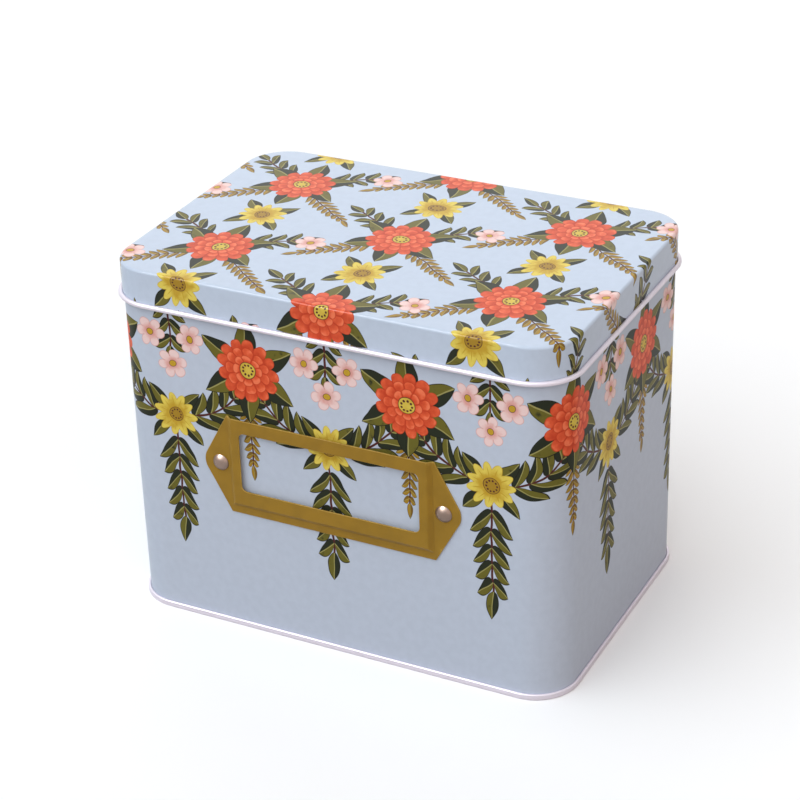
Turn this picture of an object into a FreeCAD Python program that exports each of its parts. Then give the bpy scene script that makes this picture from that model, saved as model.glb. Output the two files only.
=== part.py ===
# Tin box for cards and keepsakes, in millimetres: a seamed tinplate body, a lid that swings on a wire
# in its rear bead, and a stamped label frame riveted to the front.
# The origin is the centre of the footprint on the table, +Z is up and the label faces -Y.
import FreeCAD
import Part
import Sketcher
import os

# Driving dimensions, written once here and read by every sketch and feature.
DIMENSIONS = {
    # Body and lid, over the outside of the wall
    "body_width": 160.0,
    "body_depth": 108.5,
    "closed_height": 127.5,
    "corner_radius": 14.5,
    "tin_sheet": 0.3,
    "rim_curl_radius": 1.0,
    "rim_curl_sweep": 290.0,
    "rim_headroom": 0.25,
    # Neck of the body, which the lid slips over and swings clear of
    "neck_inset": 0.6,
    "neck_rise": 0.5,
    # Side seam, folded inwards at the middle of the back wall
    "side_seam_width": 5.0,
    "side_seam_fold": 0.5,
    "side_seam_end_margin": 3.0,
    # Double seam that joins the base to the wall
    "seam_height": 2.1,
    "seam_slack": 0.05,
    "seam_corner_radius": 0.4,
    "base_recess": 2.4,
    "panel_lap": 3.0,
    # Lid
    "lid_clearance": 0.25,
    "lid_edge_radius": 1.4,
    "skirt_depth": 12.1,
    "bead_sweep": 300.0,
    # Hinge: wire in the rear bead, two straps on the back wall
    "wire_radius": 0.5,
    "wire_play": 0.05,
    "wire_end_margin": 5.0,
    "lid_open_angle": 105.0,
    "strap_sheet": 0.4,
    "strap_width": 12.0,
    "strap_inset": 19.0,
    "strap_end_margin": 4.5,
    "strap_hook_end_angle": 100.0,
    "strap_knee_margin": 0.25,
    "strap_riser_drop": 1.3,
    "stop_gap": 0.1,
    "notch_clearance": 0.4,
    "notch_side_gap": 0.6,
    # Rivets of the hinge straps
    "hinge_rivet_drop": 8.5,
    "hinge_rivet_spacing": 6.0,
    "hinge_rivet_shank": 0.9,
    "hinge_rivet_head": 1.8,
    "hinge_rivet_crown": 0.7,
    "hinge_rivet_tail": 1.5,
    "hinge_rivet_tail_height": 0.5,
    # Label frame, seen from the front
    "label_sheet": 0.5,
    "label_centre_height": 63.0,
    "label_height": 36.0,
    "label_shoulder": 37.5,
    "label_tip_reach": 10.0,
    "label_tip_radius": 6.0,
    "label_raise": 1.3,
    "label_step": 2.7,
    "label_flange": 2.2,
    "window_width": 65.0,
    "window_height": 21.7,
    "window_rise": 2.35,
    "window_corner": 2.0,
    # Rivets of the label frame
    "label_rivet_offset": 3.1,
    "label_rivet_shank": 1.5,
    "label_rivet_head": 2.9,
    "label_rivet_crown": 1.7,
    "label_rivet_tail": 2.4,
    "label_rivet_tail_height": 0.7,
    # Both kinds of rivet
    "rivet_play": 0.05,
    "rivet_rim": 0.2,
}

# Places that several pieces share, as expressions of the driving dimensions.
# Offsets run outwards from the outside of the wall.
HALF_WIDTH = "dim.body_width / 2"
HALF_DEPTH = "dim.body_depth / 2"
RADIUS = "dim.corner_radius"
SHEET = "dim.tin_sheet"
SLACK = "dim.seam_slack"
RIM_RADIUS = "dim.rim_curl_radius"
RIM_CENTRE = f"(dim.closed_height - {SHEET} - dim.rim_headroom - {RIM_RADIUS})"
SEAM_TOP = "dim.seam_height"
BASE_TOP = f"(dim.base_recess + {SHEET})"
SKIRT_INSIDE = "dim.lid_clearance"
SKIRT_OUTSIDE = f"({SKIRT_INSIDE} + {SHEET})"
EYE_RADIUS = "(dim.wire_radius + dim.wire_play)"
BEAD_RADIUS = f"({EYE_RADIUS} + {SHEET})"
BEAD_OFFSET = f"({SKIRT_INSIDE} + {BEAD_RADIUS})"
BEAD_HEIGHT = "(dim.closed_height - dim.skirt_depth)"
NECK = "dim.neck_inset"
NECK_FOOT = f"({BEAD_HEIGHT} + dim.neck_rise)"
HINGE_Y = f"({HALF_DEPTH} + {BEAD_OFFSET})"
HALF_WIRE = f"({HALF_WIDTH} - {RADIUS} - dim.wire_end_margin)"
STRAP_X = f"({HALF_WIRE} - dim.strap_inset)"
HOOK_RADIUS = f"({EYE_RADIUS} + dim.strap_sheet)"
NOTCH_RISE = f"({HOOK_RADIUS} + dim.notch_clearance)"
HINGE_RIVET_Z = f"({BEAD_HEIGHT} - dim.hinge_rivet_drop)"
LABEL_Z = "dim.label_centre_height"
LABEL_TOP = f"({LABEL_Z} + dim.label_height / 2)"
LABEL_BOTTOM = f"({LABEL_Z} - dim.label_height / 2)"
LABEL_TIP = "(dim.label_shoulder + dim.label_tip_reach)"
LABEL_RIVET_X = "(dim.label_shoulder + dim.label_rivet_offset)"
LABEL_HOLE = "(dim.label_rivet_shank + dim.rivet_play)"
HINGE_HOLE = "(dim.hinge_rivet_shank + dim.rivet_play)"
# Factors that mirror a place to the left or the right
SIDES = {"left": "-1", "right": "1"}

# How a sketch numbers its origin, and the start, end and centre of an element
SKETCH_ORIGIN = (-1, 1)
START, END, CENTRE = range(1, 4)

doc = FreeCAD.newDocument("tin_box")
dim = doc.addObject("Spreadsheet::Sheet", "dim")
for row, (alias, number) in enumerate(DIMENSIONS.items(), 1):
    dim.set(f"A{row}", alias)
    dim.set(f"B{row}", str(number))
    dim.setAlias(f"B{row}", alias)
doc.recompute()


def value(expression):
    """The present value of an expression, as a plain number."""
    return float(dim.evalExpression(f"({expression}) * 1.0"))


class Outline:
    """A closed outline in a sketch, with every point tied to the dimension sheet."""

    def __init__(self, sketch, x, y):
        self.sketch = sketch
        self.here = (value(x), value(y))
        self.start = (x, y)
        self.first = None
        self.last = None

    def tie(self, geometry, point, x=None, y=None):
        """Holds one point of the sketch at the given expressions."""
        for kind, expression in (("DistanceX", x), ("DistanceY", y)):
            if expression is not None:
                index = self.sketch.addConstraint(
                    Sketcher.Constraint(kind, *SKETCH_ORIGIN, geometry, point, value(expression)))
                self.sketch.setExpression(f"Constraints[{index}]", expression)

    def join(self, geometry, point):
        """Hangs a new element on the end of the one before it."""
        if self.last is None:
            self.first = (geometry, point)
            self.tie(geometry, point, *self.start)
        else:
            self.sketch.addConstraint(Sketcher.Constraint("Coincident", *self.last, geometry, point))

    def line_to(self, x, y):
        """Adds a straight run to a point given by two expressions."""
        there = (value(x), value(y))
        geometry = self.draw_line(there)
        self.tie(geometry, END, x, y)
        return self

    def draw_line(self, there):
        """Draws a straight run to a point and hangs it on the run before."""
        segment = Part.LineSegment(FreeCAD.Vector(*self.here, 0), FreeCAD.Vector(*there, 0))
        geometry = self.sketch.addGeometry(segment, False)
        self.join(geometry, START)
        self.last, self.here = (geometry, END), there
        return geometry

    def arc_to(self, centre, x=None, y=None, far=1, clockwise=False):
        """Adds an arc about a centre, up to where it crosses a given x or a given y.

        far picks the crossing: 1 for the one on the larger side of the other axis, -1 for the smaller.
        """
        middle = FreeCAD.Vector(value(centre[0]), value(centre[1]), 0)
        begin = FreeCAD.Vector(*self.here, 0) - middle
        radius = begin.Length
        if x is not None:
            along = value(x) - middle.x
            reach = FreeCAD.Vector(along, far * max(radius ** 2 - along ** 2, 0) ** 0.5, 0)
        else:
            along = value(y) - middle.y
            reach = FreeCAD.Vector(far * max(radius ** 2 - along ** 2, 0) ** 0.5, along, 0)
        circle = Part.Circle(middle, FreeCAD.Vector(0, 0, 1), radius)
        angles = [circle.parameter(middle + end) for end in (begin, reach)]
        if clockwise:
            angles.reverse()
        arc = Part.ArcOfCircle(circle, *angles)
        geometry = self.sketch.addGeometry(arc, False)
        near_end, far_end = (END, START) if clockwise else (START, END)
        self.join(geometry, near_end)
        self.tie(geometry, CENTRE, *centre)
        self.tie(geometry, far_end, x, y)
        there = middle + reach
        self.last, self.here = (geometry, far_end), (there.x, there.y)
        return self

    def close(self):
        """Runs straight back to the first point."""
        geometry = self.draw_line((value(self.start[0]), value(self.start[1])))
        self.sketch.addConstraint(Sketcher.Constraint("Coincident", geometry, END, *self.first))


def circle(sketch, x, y, radius):
    """Adds a circle whose centre and radius are expressions."""
    middle = FreeCAD.Vector(value(x), value(y), 0)
    round_edge = Part.Circle(middle, FreeCAD.Vector(0, 0, 1), value(radius))
    geometry = sketch.addGeometry(round_edge, False)
    Outline(sketch, x, y).tie(geometry, CENTRE, x, y)
    index = sketch.addConstraint(Sketcher.Constraint("Radius", geometry, value(radius)))
    sketch.setExpression(f"Constraints[{index}]", radius)


def polygon(sketch, points):
    """Adds a closed outline of straight runs."""
    outline = Outline(sketch, *points[0])
    for point in points[1:]:
        outline.line_to(*point)
    outline.close()


def rectangle(sketch, left, bottom, right, top):
    """Adds an upright rectangle between four expressions."""
    polygon(sketch, [(left, bottom), (right, bottom), (right, top), (left, top)])


def rounded_rectangle(sketch, half_x, half_y, radius, centre_y="0"):
    """Adds a rounded rectangle about (0, centre_y), starting at the middle of its right side."""
    edge_x, edge_y = f"({half_x} - {radius})", f"({half_y} - {radius})"
    top, bottom = f"({centre_y} + {half_y})", f"({centre_y} - {half_y})"
    upper, lower = f"({centre_y} + {edge_y})", f"({centre_y} - {edge_y})"
    outline = Outline(sketch, half_x, centre_y)
    outline.line_to(half_x, upper)
    outline.arc_to((edge_x, upper), x=edge_x, far=1)
    outline.line_to(f"-{edge_x}", top)
    outline.arc_to((f"-{edge_x}", upper), y=upper, far=-1)
    outline.line_to(f"-({half_x})", lower)
    outline.arc_to((f"-{edge_x}", lower), x=f"-{edge_x}", far=-1)
    outline.line_to(edge_x, bottom)
    outline.arc_to((edge_x, lower), y=lower, far=1)
    outline.close()


def new_body(label):
    """Starts a sub-part."""
    body = doc.addObject("PartDesign::Body", label)
    body.Label = label
    return body


def new_sketch(body, name, role, offset=None):
    """Starts a sketch on one of the body's own planes, moved along the plane's normal if asked."""
    plane = next(feature for feature in body.Origin.OriginFeatures if feature.Role == role)
    sketch = body.newObject("Sketcher::SketchObject", f"{body.Name}_{name}")
    sketch.AttachmentSupport = [(plane, "")]
    sketch.MapMode = "FlatFace"
    if offset is not None:
        sketch.setExpression("AttachmentOffset.Base.z", offset)
    return sketch


def pad(body, sketch, length, midplane=False, backwards=False):
    """Raises a sketch into a solid."""
    feature = body.newObject("PartDesign::Pad", f"{sketch.Name}_pad")
    feature.Profile = sketch
    feature.Midplane = midplane
    feature.Reversed = backwards
    feature.setExpression("Length", length)
    doc.recompute()
    return feature


def cut(body, sketch, length, backwards=False):
    """Cuts a sketch out of the body, and stops if nothing was cut."""
    before = body.Shape.Volume
    feature = body.newObject("PartDesign::Pocket", f"{sketch.Name}_cut")
    feature.Profile = sketch
    feature.Reversed = backwards
    feature.setExpression("Length", length)
    doc.recompute()
    if body.Shape.Volume > before - 1e-6:
        raise RuntimeError(f"{feature.Name} cuts nothing")
    return feature


def sweep_round_wall(body, draw_section):
    """Carries a sheet section once round the outside of the wall."""
    path = new_sketch(body, "path", "XY_Plane")
    rounded_rectangle(path, HALF_WIDTH, HALF_DEPTH, RADIUS)
    section = new_sketch(body, "section", "XZ_Plane")
    draw_section(section)
    sweep = body.newObject("PartDesign::AdditivePipe", f"{body.Name}_sweep")
    sweep.Profile = section
    sweep.Spine = path
    doc.recompute()
    return sweep


def add_panel(body, inset, height):
    """Fills the middle of a swept rim with a flat panel whose underside is at a height."""
    sketch = new_sketch(body, "panel", "XY_Plane", height)
    half_x, half_y, radius = (f"({size} - {inset})" for size in (HALF_WIDTH, HALF_DEPTH, RADIUS))
    rounded_rectangle(sketch, half_x, half_y, radius)
    pad(body, sketch, SHEET)


def at(offset):
    """The x of a point of the swept section, from its offset outside the wall."""
    return f"({HALF_WIDTH} + ({offset}))"


def make_body_shell():
    """Wall sheet: necked and curled inwards at the rim, hooked into the base seam, holed for the rivets."""

    def draw_section(sketch):
        rim_inset = f"({NECK} + {RIM_RADIUS})"
        rim = (at(f"-{rim_inset}"), RIM_CENTRE)
        hook_inside, hook_outside = at(f"2 * {SLACK} + {SHEET}"), at(f"2 * {SLACK} + 2 * {SHEET}")
        hook_top = f"({SEAM_TOP} - {SHEET} - {SLACK})"
        curl_inside = f"({RIM_RADIUS} - {SHEET})"
        turn = "dim.rim_curl_sweep"
        mitre = f"{SHEET} * tan(22.5)"
        outline = Outline(sketch, at(f"-{NECK}"), RIM_CENTRE)
        outline.arc_to(rim, x=at(f"{RIM_RADIUS} * cos({turn}) - {rim_inset}"), far=-1)
        outline.line_to(at(f"{curl_inside} * cos({turn}) - {rim_inset}"),
                        f"{RIM_CENTRE} + {curl_inside} * sin({turn})")
        outline.arc_to(rim, y=RIM_CENTRE, far=1, clockwise=True)
        outline.line_to(at(f"-{NECK} - {SHEET}"), f"{NECK_FOOT} + {NECK} - {mitre}")
        outline.line_to(at(f"-{SHEET}"), f"{NECK_FOOT} - {mitre}")
        outline.line_to(at(f"-{SHEET}"), f"{SHEET} + {SLACK}")
        outline.line_to(hook_outside, f"{SHEET} + {SLACK}")
        outline.line_to(hook_outside, hook_top)
        outline.line_to(hook_inside, hook_top)
        outline.line_to(hook_inside, f"2 * {SHEET} + {SLACK}")
        outline.line_to(at("0"), f"2 * {SHEET} + {SLACK}")
        outline.line_to(at("0"), NECK_FOOT)
        outline.line_to(at(f"-{NECK}"), f"{NECK_FOOT} + {NECK}")
        outline.close()

    body = new_body("body_shell")
    sweep_round_wall(body, draw_section)
    inside = f"({HALF_DEPTH} - {SHEET})"
    fold = new_sketch(body, "side_seam", "XZ_Plane", f"-({inside} - dim.side_seam_fold)")
    rectangle(fold, "-dim.side_seam_width / 2", f"{SEAM_TOP} + dim.side_seam_end_margin",
              "dim.side_seam_width / 2", f"{NECK_FOOT} - dim.side_seam_end_margin")
    pad(body, fold, f"dim.side_seam_fold + {SHEET} / 2", backwards=True)
    front_holes = new_sketch(body, "label_holes", "XZ_Plane")
    back_holes = new_sketch(body, "hinge_holes", "XZ_Plane")
    for side in SIDES.values():
        circle(front_holes, f"{side} * {LABEL_RIVET_X}", LABEL_Z, LABEL_HOLE)
        for end in SIDES.values():
            circle(back_holes, hinge_rivet_x(side, end), HINGE_RIVET_Z, HINGE_HOLE)
    cut(body, front_holes, f"{HALF_DEPTH} + {SHEET}", backwards=True)
    cut(body, back_holes, f"{HALF_DEPTH} + {SHEET}")
    return body


def hinge_rivet_x(side, end):
    """The x of a hinge rivet: side picks the strap, end picks one of its two rivets."""
    return f"({side} * {STRAP_X} + {end} * dim.hinge_rivet_spacing / 2)"


def make_base_pan():
    """Recessed bottom whose rim folds round the hook of the wall to make the double seam."""
    well_inside, well_outside = f"(-2 * {SHEET} - {SLACK})", f"(-{SHEET} - {SLACK})"
    seam_inside, seam_outside = f"(3 * {SLACK} + 2 * {SHEET})", f"(3 * {SLACK} + 3 * {SHEET})"
    curve = "dim.seam_corner_radius"

    def draw_section(sketch):
        outline = Outline(sketch, at(f"{well_inside} - dim.panel_lap"), "dim.base_recess")
        outline.line_to(at(well_inside), "dim.base_recess")
        outline.line_to(at(well_inside), curve)
        outline.arc_to((at(f"{well_inside} + {curve}"), curve), x=at(f"{well_inside} + {curve}"), far=-1)
        outline.line_to(at(f"{seam_outside} - {curve}"), "0")
        outline.arc_to((at(f"{seam_outside} - {curve}"), curve), y=curve, far=1)
        outline.line_to(at(seam_outside), f"{SEAM_TOP} - {curve}")
        outline.arc_to((at(f"{seam_outside} - {curve}"), f"{SEAM_TOP} - {curve}"),
                       x=at(f"{seam_outside} - {curve}"), far=1)
        outline.line_to(at(SLACK), SEAM_TOP)
        outline.line_to(at(SLACK), f"2 * {SHEET} + 2 * {SLACK}")
        outline.line_to(at(f"{SLACK} + {SHEET}"), f"2 * {SHEET} + 2 * {SLACK}")
        outline.line_to(at(f"{SLACK} + {SHEET}"), f"{SEAM_TOP} - {SHEET}")
        outline.line_to(at(seam_inside), f"{SEAM_TOP} - {SHEET}")
        outline.line_to(at(seam_inside), SHEET)
        outline.line_to(at(well_outside), SHEET)
        outline.line_to(at(well_outside), BASE_TOP)
        outline.line_to(at(f"{well_inside} - dim.panel_lap"), BASE_TOP)
        outline.close()

    body = new_body("base_pan")
    sweep_round_wall(body, draw_section)
    add_panel(body, f"(2 * {SHEET} + {SLACK})", "dim.base_recess")
    return body


def make_lid_shell():
    """Lid: flat top, rounded edge, straight skirt and a hollow bead, notched behind for the straps."""
    edge_start = f"({SKIRT_OUTSIDE} - dim.lid_edge_radius)"
    edge_height = "(dim.closed_height - dim.lid_edge_radius)"
    underside = f"(dim.closed_height - {SHEET})"

    def draw_section(sketch):
        edge = (at(edge_start), edge_height)
        bead = (at(BEAD_OFFSET), BEAD_HEIGHT)
        turn = "(180 + dim.bead_sweep)"
        outline = Outline(sketch, at(f"{edge_start} - dim.panel_lap"), "dim.closed_height")
        outline.line_to(at(edge_start), "dim.closed_height")
        outline.arc_to(edge, y=edge_height, far=1, clockwise=True)
        outline.line_to(at(SKIRT_OUTSIDE), BEAD_HEIGHT)
        outline.arc_to(bead, x=at(f"{BEAD_OFFSET} + {EYE_RADIUS} * cos({turn})"), far=1)
        outline.line_to(at(f"{BEAD_OFFSET} + {BEAD_RADIUS} * cos({turn})"),
                        f"{BEAD_HEIGHT} + {BEAD_RADIUS} * sin({turn})")
        outline.arc_to(bead, y=BEAD_HEIGHT, far=-1, clockwise=True)
        outline.line_to(at(SKIRT_INSIDE), edge_height)
        outline.arc_to(edge, x=at(edge_start), far=1)
        outline.line_to(at(f"{edge_start} - dim.panel_lap"), underside)
        outline.close()

    body = new_body("lid_shell")
    sweep_round_wall(body, draw_section)
    add_panel(body, f"(-{edge_start})", underside)
    notches = new_sketch(body, "notches", "XZ_Plane")
    half_notch = "(dim.strap_width / 2 + dim.notch_side_gap)"
    for side in SIDES.values():
        middle = f"{side} * {STRAP_X}"
        rectangle(notches, f"{middle} - {half_notch}", f"{BEAD_HEIGHT} - 2 * {BEAD_RADIUS}",
                  f"{middle} + {half_notch}", f"{BEAD_HEIGHT} + {NOTCH_RISE}")
    cut(body, notches, f"{HINGE_Y} + 2 * {BEAD_RADIUS}")
    return body


def make_hinge_wire():
    """Straight wire inside the rear bead: the pin that the lid turns on."""
    wire = doc.addObject("Part::Cylinder", "hinge_wire")
    wire.Label = "hinge_wire"
    wire.setExpression("Radius", "dim.wire_radius")
    wire.setExpression("Height", f"2 * {HALF_WIRE}")
    wire.Placement.Rotation = FreeCAD.Rotation(FreeCAD.Vector(0, 1, 0), 90)
    wire.setExpression("Placement.Base.x", f"-{HALF_WIRE}")
    wire.setExpression("Placement.Base.y", HINGE_Y)
    wire.setExpression("Placement.Base.z", BEAD_HEIGHT)
    return wire


def make_hinge_strap(name, side):
    """Bent strip: a leg on the back wall, a riser behind the wire and a hook over and round it.

    The lid's notch comes down on the sloping shoulder of the strip, which stops the lid.
    """
    thickness = "dim.strap_sheet"
    # Corner of the notch about the wire, with the lid fully open
    corner_reach = f"sqrt({EYE_RADIUS} ^ 2 + {NOTCH_RISE} ^ 2)"
    corner_angle = f"(180 deg - atan({NOTCH_RISE} / {EYE_RADIUS}) - dim.lid_open_angle * 1 deg)"
    slope = f"({corner_angle} + acos(({HOOK_RADIUS} + dim.stop_gap) / {corner_reach}))"
    knee = f"({corner_reach} * cos({corner_angle}) + dim.strap_knee_margin)"
    drop = "dim.strap_riser_drop"
    run = f"({knee} + {BEAD_OFFSET} - {thickness})"
    mitre = f"{thickness} * tan(22.5)"

    def y(offset):
        return f"({HINGE_Y} + ({offset}))"

    def z(offset):
        return f"({BEAD_HEIGHT} + ({offset}))"

    body = new_body(name)
    strip = new_sketch(body, "strip", "YZ_Plane")
    eye = (y("0"), z("0"))
    tail = "dim.strap_hook_end_angle"
    wall = HALF_DEPTH
    leg_top = f"({BEAD_HEIGHT} - {drop} - {run})"
    leg_bottom = f"({HINGE_RIVET_Z} - dim.strap_end_margin)"
    outline = Outline(strip, wall, leg_bottom)
    outline.line_to(f"({wall} + {thickness})", leg_bottom)
    outline.line_to(f"({wall} + {thickness})", leg_top)
    outline.line_to(y(knee), z(f"-{drop}"))
    outline.line_to(y(knee), z(f"({HOOK_RADIUS} - {knee} * cos({slope})) / sin({slope})"))
    outline.line_to(y(f"{HOOK_RADIUS} * cos({slope})"), z(f"{HOOK_RADIUS} * sin({slope})"))
    outline.arc_to(eye, x=y(f"{HOOK_RADIUS} * cos({tail})"), far=-1)
    outline.line_to(y(f"{EYE_RADIUS} * cos({tail})"), z(f"-{EYE_RADIUS} * sin({tail})"))
    outline.arc_to(eye, x=y(f"{EYE_RADIUS} * cos({slope})"), far=1, clockwise=True)
    riser_inside = f"({knee} - {thickness})"
    outline.line_to(y(riser_inside), z(f"({EYE_RADIUS} - {riser_inside} * cos({slope})) / sin({slope})"))
    outline.line_to(y(riser_inside), z(f"{mitre} - {drop}"))
    outline.line_to(wall, f"{leg_top} + {mitre}")
    outline.close()
    pad(body, strip, "dim.strap_width", midplane=True)
    holes = new_sketch(body, "holes", "XZ_Plane")
    for end in SIDES.values():
        circle(holes, f"{end} * dim.hinge_rivet_spacing / 2", HINGE_RIVET_Z, HINGE_HOLE)
    cut(body, holes, f"{HALF_DEPTH} + 2 * {thickness}")
    body.setExpression("Placement.Base.x", f"{side} * {STRAP_X}")
    return body


def make_rivet(name, kind, x, height, face, grip):
    """Rivet through the wall: domed head on the outside, shank, and a flat set tail on the inside.

    face is -1 for the front wall and 1 for the back wall; grip is what lies on the wall under the head.
    """
    shank, head, crown, tail = (f"dim.{kind}_rivet_{part}" for part in ("shank", "head", "crown", "tail"))
    tail_height = f"dim.{kind}_rivet_tail_height"
    seat = f"({HALF_DEPTH} + {grip})"
    inside = f"({HALF_DEPTH} - {SHEET})"
    dome = f"({crown} - dim.rivet_rim)"
    dome_radius = f"(({head} ^ 2 + {dome} ^ 2) / (2 * {dome}))"
    body = new_body(name)
    profile = new_sketch(body, "profile", "YZ_Plane")

    def y(distance):
        return f"({face} * ({distance}))"

    outline = Outline(profile, y(f"{inside} - {tail_height}"), "0")
    outline.line_to(y(f"{inside} - {tail_height}"), tail)
    outline.line_to(y(inside), tail)
    outline.line_to(y(inside), shank)
    outline.line_to(y(seat), shank)
    outline.line_to(y(seat), head)
    outline.line_to(y(f"{seat} + dim.rivet_rim"), head)
    outline.arc_to((y(f"{seat} + {crown} - {dome_radius}"), "0"), y="0", far=face, clockwise=face > 0)
    outline.close()
    turned = body.newObject("PartDesign::Revolution", f"{name}_turned")
    turned.Profile = profile
    turned.ReferenceAxis = (profile, ["H_Axis"])
    turned.Angle = 360
    doc.recompute()
    body.setExpression("Placement.Base.x", x)
    body.setExpression("Placement.Base.z", height)
    return body


def make_label_frame():
    """Stamped label holder: tabs and flange on the wall, and a raised windowed panel open at the top."""
    raised = f"({HALF_DEPTH} + dim.label_raise)"
    foot, shelf = "dim.label_shoulder", "(dim.label_shoulder - dim.label_step)"
    foot_bottom = f"({LABEL_BOTTOM} + dim.label_flange)"
    shelf_bottom = f"({foot_bottom} + dim.label_step)"

    def loft(kind, name, lower, upper, top):
        sections = []
        ends = (("foot", lower, foot, foot_bottom), ("shelf", upper, shelf, shelf_bottom))
        for end, offset, half, bottom in ends:
            section = new_sketch(body, f"{name}_{end}", "XZ_Plane", offset)
            rectangle(section, f"-{half}", bottom, half, top)
            sections.append(section)
        feature = body.newObject(f"PartDesign::{kind}", f"{body.Name}_{name}")
        feature.Profile = sections[0]
        feature.Sections = sections[1:]
        feature.Ruled = True
        doc.recompute()

    body = new_body("label_frame")
    plate = new_sketch(body, "plate", "XZ_Plane", HALF_DEPTH)
    polygon(plate, [(LABEL_TIP, LABEL_Z), (foot, LABEL_TOP), (f"-{foot}", LABEL_TOP),
                    (f"-{LABEL_TIP}", LABEL_Z), (f"-{foot}", LABEL_BOTTOM), (foot, LABEL_BOTTOM)])
    blank = pad(body, plate, "dim.label_sheet")
    tips = [f"Edge{number}" for number, edge in enumerate(blank.Shape.Edges, 1)
            if edge.BoundBox.YLength > edge.BoundBox.XLength + edge.BoundBox.ZLength
            and abs(abs(edge.CenterOfMass.x) - value(LABEL_TIP)) < 1e-6]
    rounding = body.newObject("PartDesign::Fillet", "label_frame_tips")
    rounding.Base = (blank, tips)
    rounding.setExpression("Radius", "dim.label_tip_radius")
    doc.recompute()
    loft("AdditiveLoft", "raised", HALF_DEPTH, f"{raised} + dim.label_sheet", LABEL_TOP)
    loft("SubtractiveLoft", "hollow", f"{HALF_DEPTH} - dim.label_sheet", raised,
         f"({LABEL_TOP} + dim.label_step)")
    window = new_sketch(body, "window", "XZ_Plane")
    rounded_rectangle(window, "(dim.window_width / 2)", "(dim.window_height / 2)", "dim.window_corner",
                      f"({LABEL_Z} + dim.window_rise)")
    holes = new_sketch(body, "holes", "XZ_Plane")
    for side in SIDES.values():
        circle(holes, f"{side} * {LABEL_RIVET_X}", LABEL_Z, LABEL_HOLE)
    through = f"{raised} + 2 * dim.label_sheet"
    cut(body, window, through, backwards=True)
    cut(body, holes, through, backwards=True)
    return body


parts = [make_body_shell(), make_base_pan(), make_lid_shell(), make_hinge_wire(), make_label_frame()]
for side_name, side in SIDES.items():
    parts.append(make_hinge_strap(f"hinge_strap_{side_name}", side))
    parts.append(make_rivet(f"label_rivet_{side_name}", "label", f"{side} * {LABEL_RIVET_X}", LABEL_Z,
                            -1, "dim.label_sheet"))
    for end_name, end in SIDES.items():
        parts.append(make_rivet(f"hinge_rivet_{side_name}_{end_name}", "hinge", hinge_rivet_x(side, end),
                                HINGE_RIVET_Z, 1, "dim.strap_sheet"))
doc.recompute()

failed = [item.Name for item in doc.Objects if {"Invalid", "Error"} & set(item.State)]
failed += [part.Label for part in parts if part.Shape.isNull() or not part.Shape.isValid()]
failed += [part.Label for part in parts if len(part.Shape.Solids) != 1]
if failed:
    raise RuntimeError(f"these did not build: {failed}")

os.makedirs("parts", exist_ok=True)
for part in parts:
    part.Shape.exportStep(os.path.join("parts", f"{part.Label}.step"))
    print(f"{part.Label}: {part.Shape.Volume:.2f} mm3")
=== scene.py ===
"""Dress the tin box: modelled sheet-metal pieces, printed lacquer, studio light and camera."""

import logging
import math
from collections.abc import Iterable, Sequence
from dataclasses import dataclass
from enum import Enum, IntEnum
from functools import cached_property

import bmesh
import bpy
from bmesh.types import BMEdge, BMesh, BMFace, BMVert
from mathutils import Matrix, Vector


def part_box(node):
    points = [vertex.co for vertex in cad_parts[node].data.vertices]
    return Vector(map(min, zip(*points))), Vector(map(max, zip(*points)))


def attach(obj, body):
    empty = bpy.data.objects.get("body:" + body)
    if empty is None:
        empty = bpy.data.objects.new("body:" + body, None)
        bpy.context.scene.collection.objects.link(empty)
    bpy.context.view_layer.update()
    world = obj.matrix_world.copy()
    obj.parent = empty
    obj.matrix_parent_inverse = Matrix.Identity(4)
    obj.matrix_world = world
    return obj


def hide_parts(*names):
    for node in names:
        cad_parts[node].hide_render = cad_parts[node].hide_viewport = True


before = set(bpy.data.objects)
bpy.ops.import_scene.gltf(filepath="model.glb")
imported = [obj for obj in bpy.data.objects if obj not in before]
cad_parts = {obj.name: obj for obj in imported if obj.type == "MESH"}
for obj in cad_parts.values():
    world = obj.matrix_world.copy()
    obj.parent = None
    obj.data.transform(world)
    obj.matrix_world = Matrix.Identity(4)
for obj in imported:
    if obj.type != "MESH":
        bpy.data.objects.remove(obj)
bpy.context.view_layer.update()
LOG = logging.getLogger("tin_box")

# Meshes are drawn in millimetres, and the scene is in metres
MM_PER_METRE = 1000.0
# Points this close together are merged, in millimetres
WELD = 1e-3
# Points this close to a plane or a level lie on it, in millimetres
ON_LEVEL = 1e-4
# Turns that differ by less than this are the same, in radians
SAME_TURN = 1e-6
SHEET_MAP = "Sheet"
EDGE_LAYER = "edge"
NOISE_MEAN = 0.5
UPSIDE_DOWN = 180.0

Srgb = tuple[int, int, int]
Linear = tuple[float, float, float, float]
Span = tuple[float, float]
Point = tuple[float, float]
Place = tuple[float, float, float]


class Rider(Enum):
    """The bodies that pieces move with."""

    BOX = "box"
    LID = "lid"


class Slot(Enum):
    """The material slots of the record."""

    PRINTED = "printed_tinplate"
    SEAM = "seam_lacquer"
    STEEL = "bare_steel"
    GOLD = "gold_lacquer"
    NICKEL = "bright_nickel"


class Socket(Enum):
    """The kinds of socket that a node group shows."""

    VALUE = "NodeSocketFloat"
    VECTOR = "NodeSocketVector"
    COLOUR = "NodeSocketColor"


class Side(Enum):
    """The two sides of the tin, by the sign of their place."""

    LEFT = -1
    RIGHT = 1


class Facing(Enum):
    """The way that a rivet's head faces, by the sign of its direction."""

    FRONT = -1
    BACK = 1


class Rounded(Enum):
    """What a bevel rounds."""

    EDGES = "EDGES"
    CORNERS = "VERTICES"


class Skin(IntEnum):
    """The numbers of a sheet-metal piece's materials."""

    OUTSIDE = 0
    INSIDE = 1
    BEAD = 2


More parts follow.
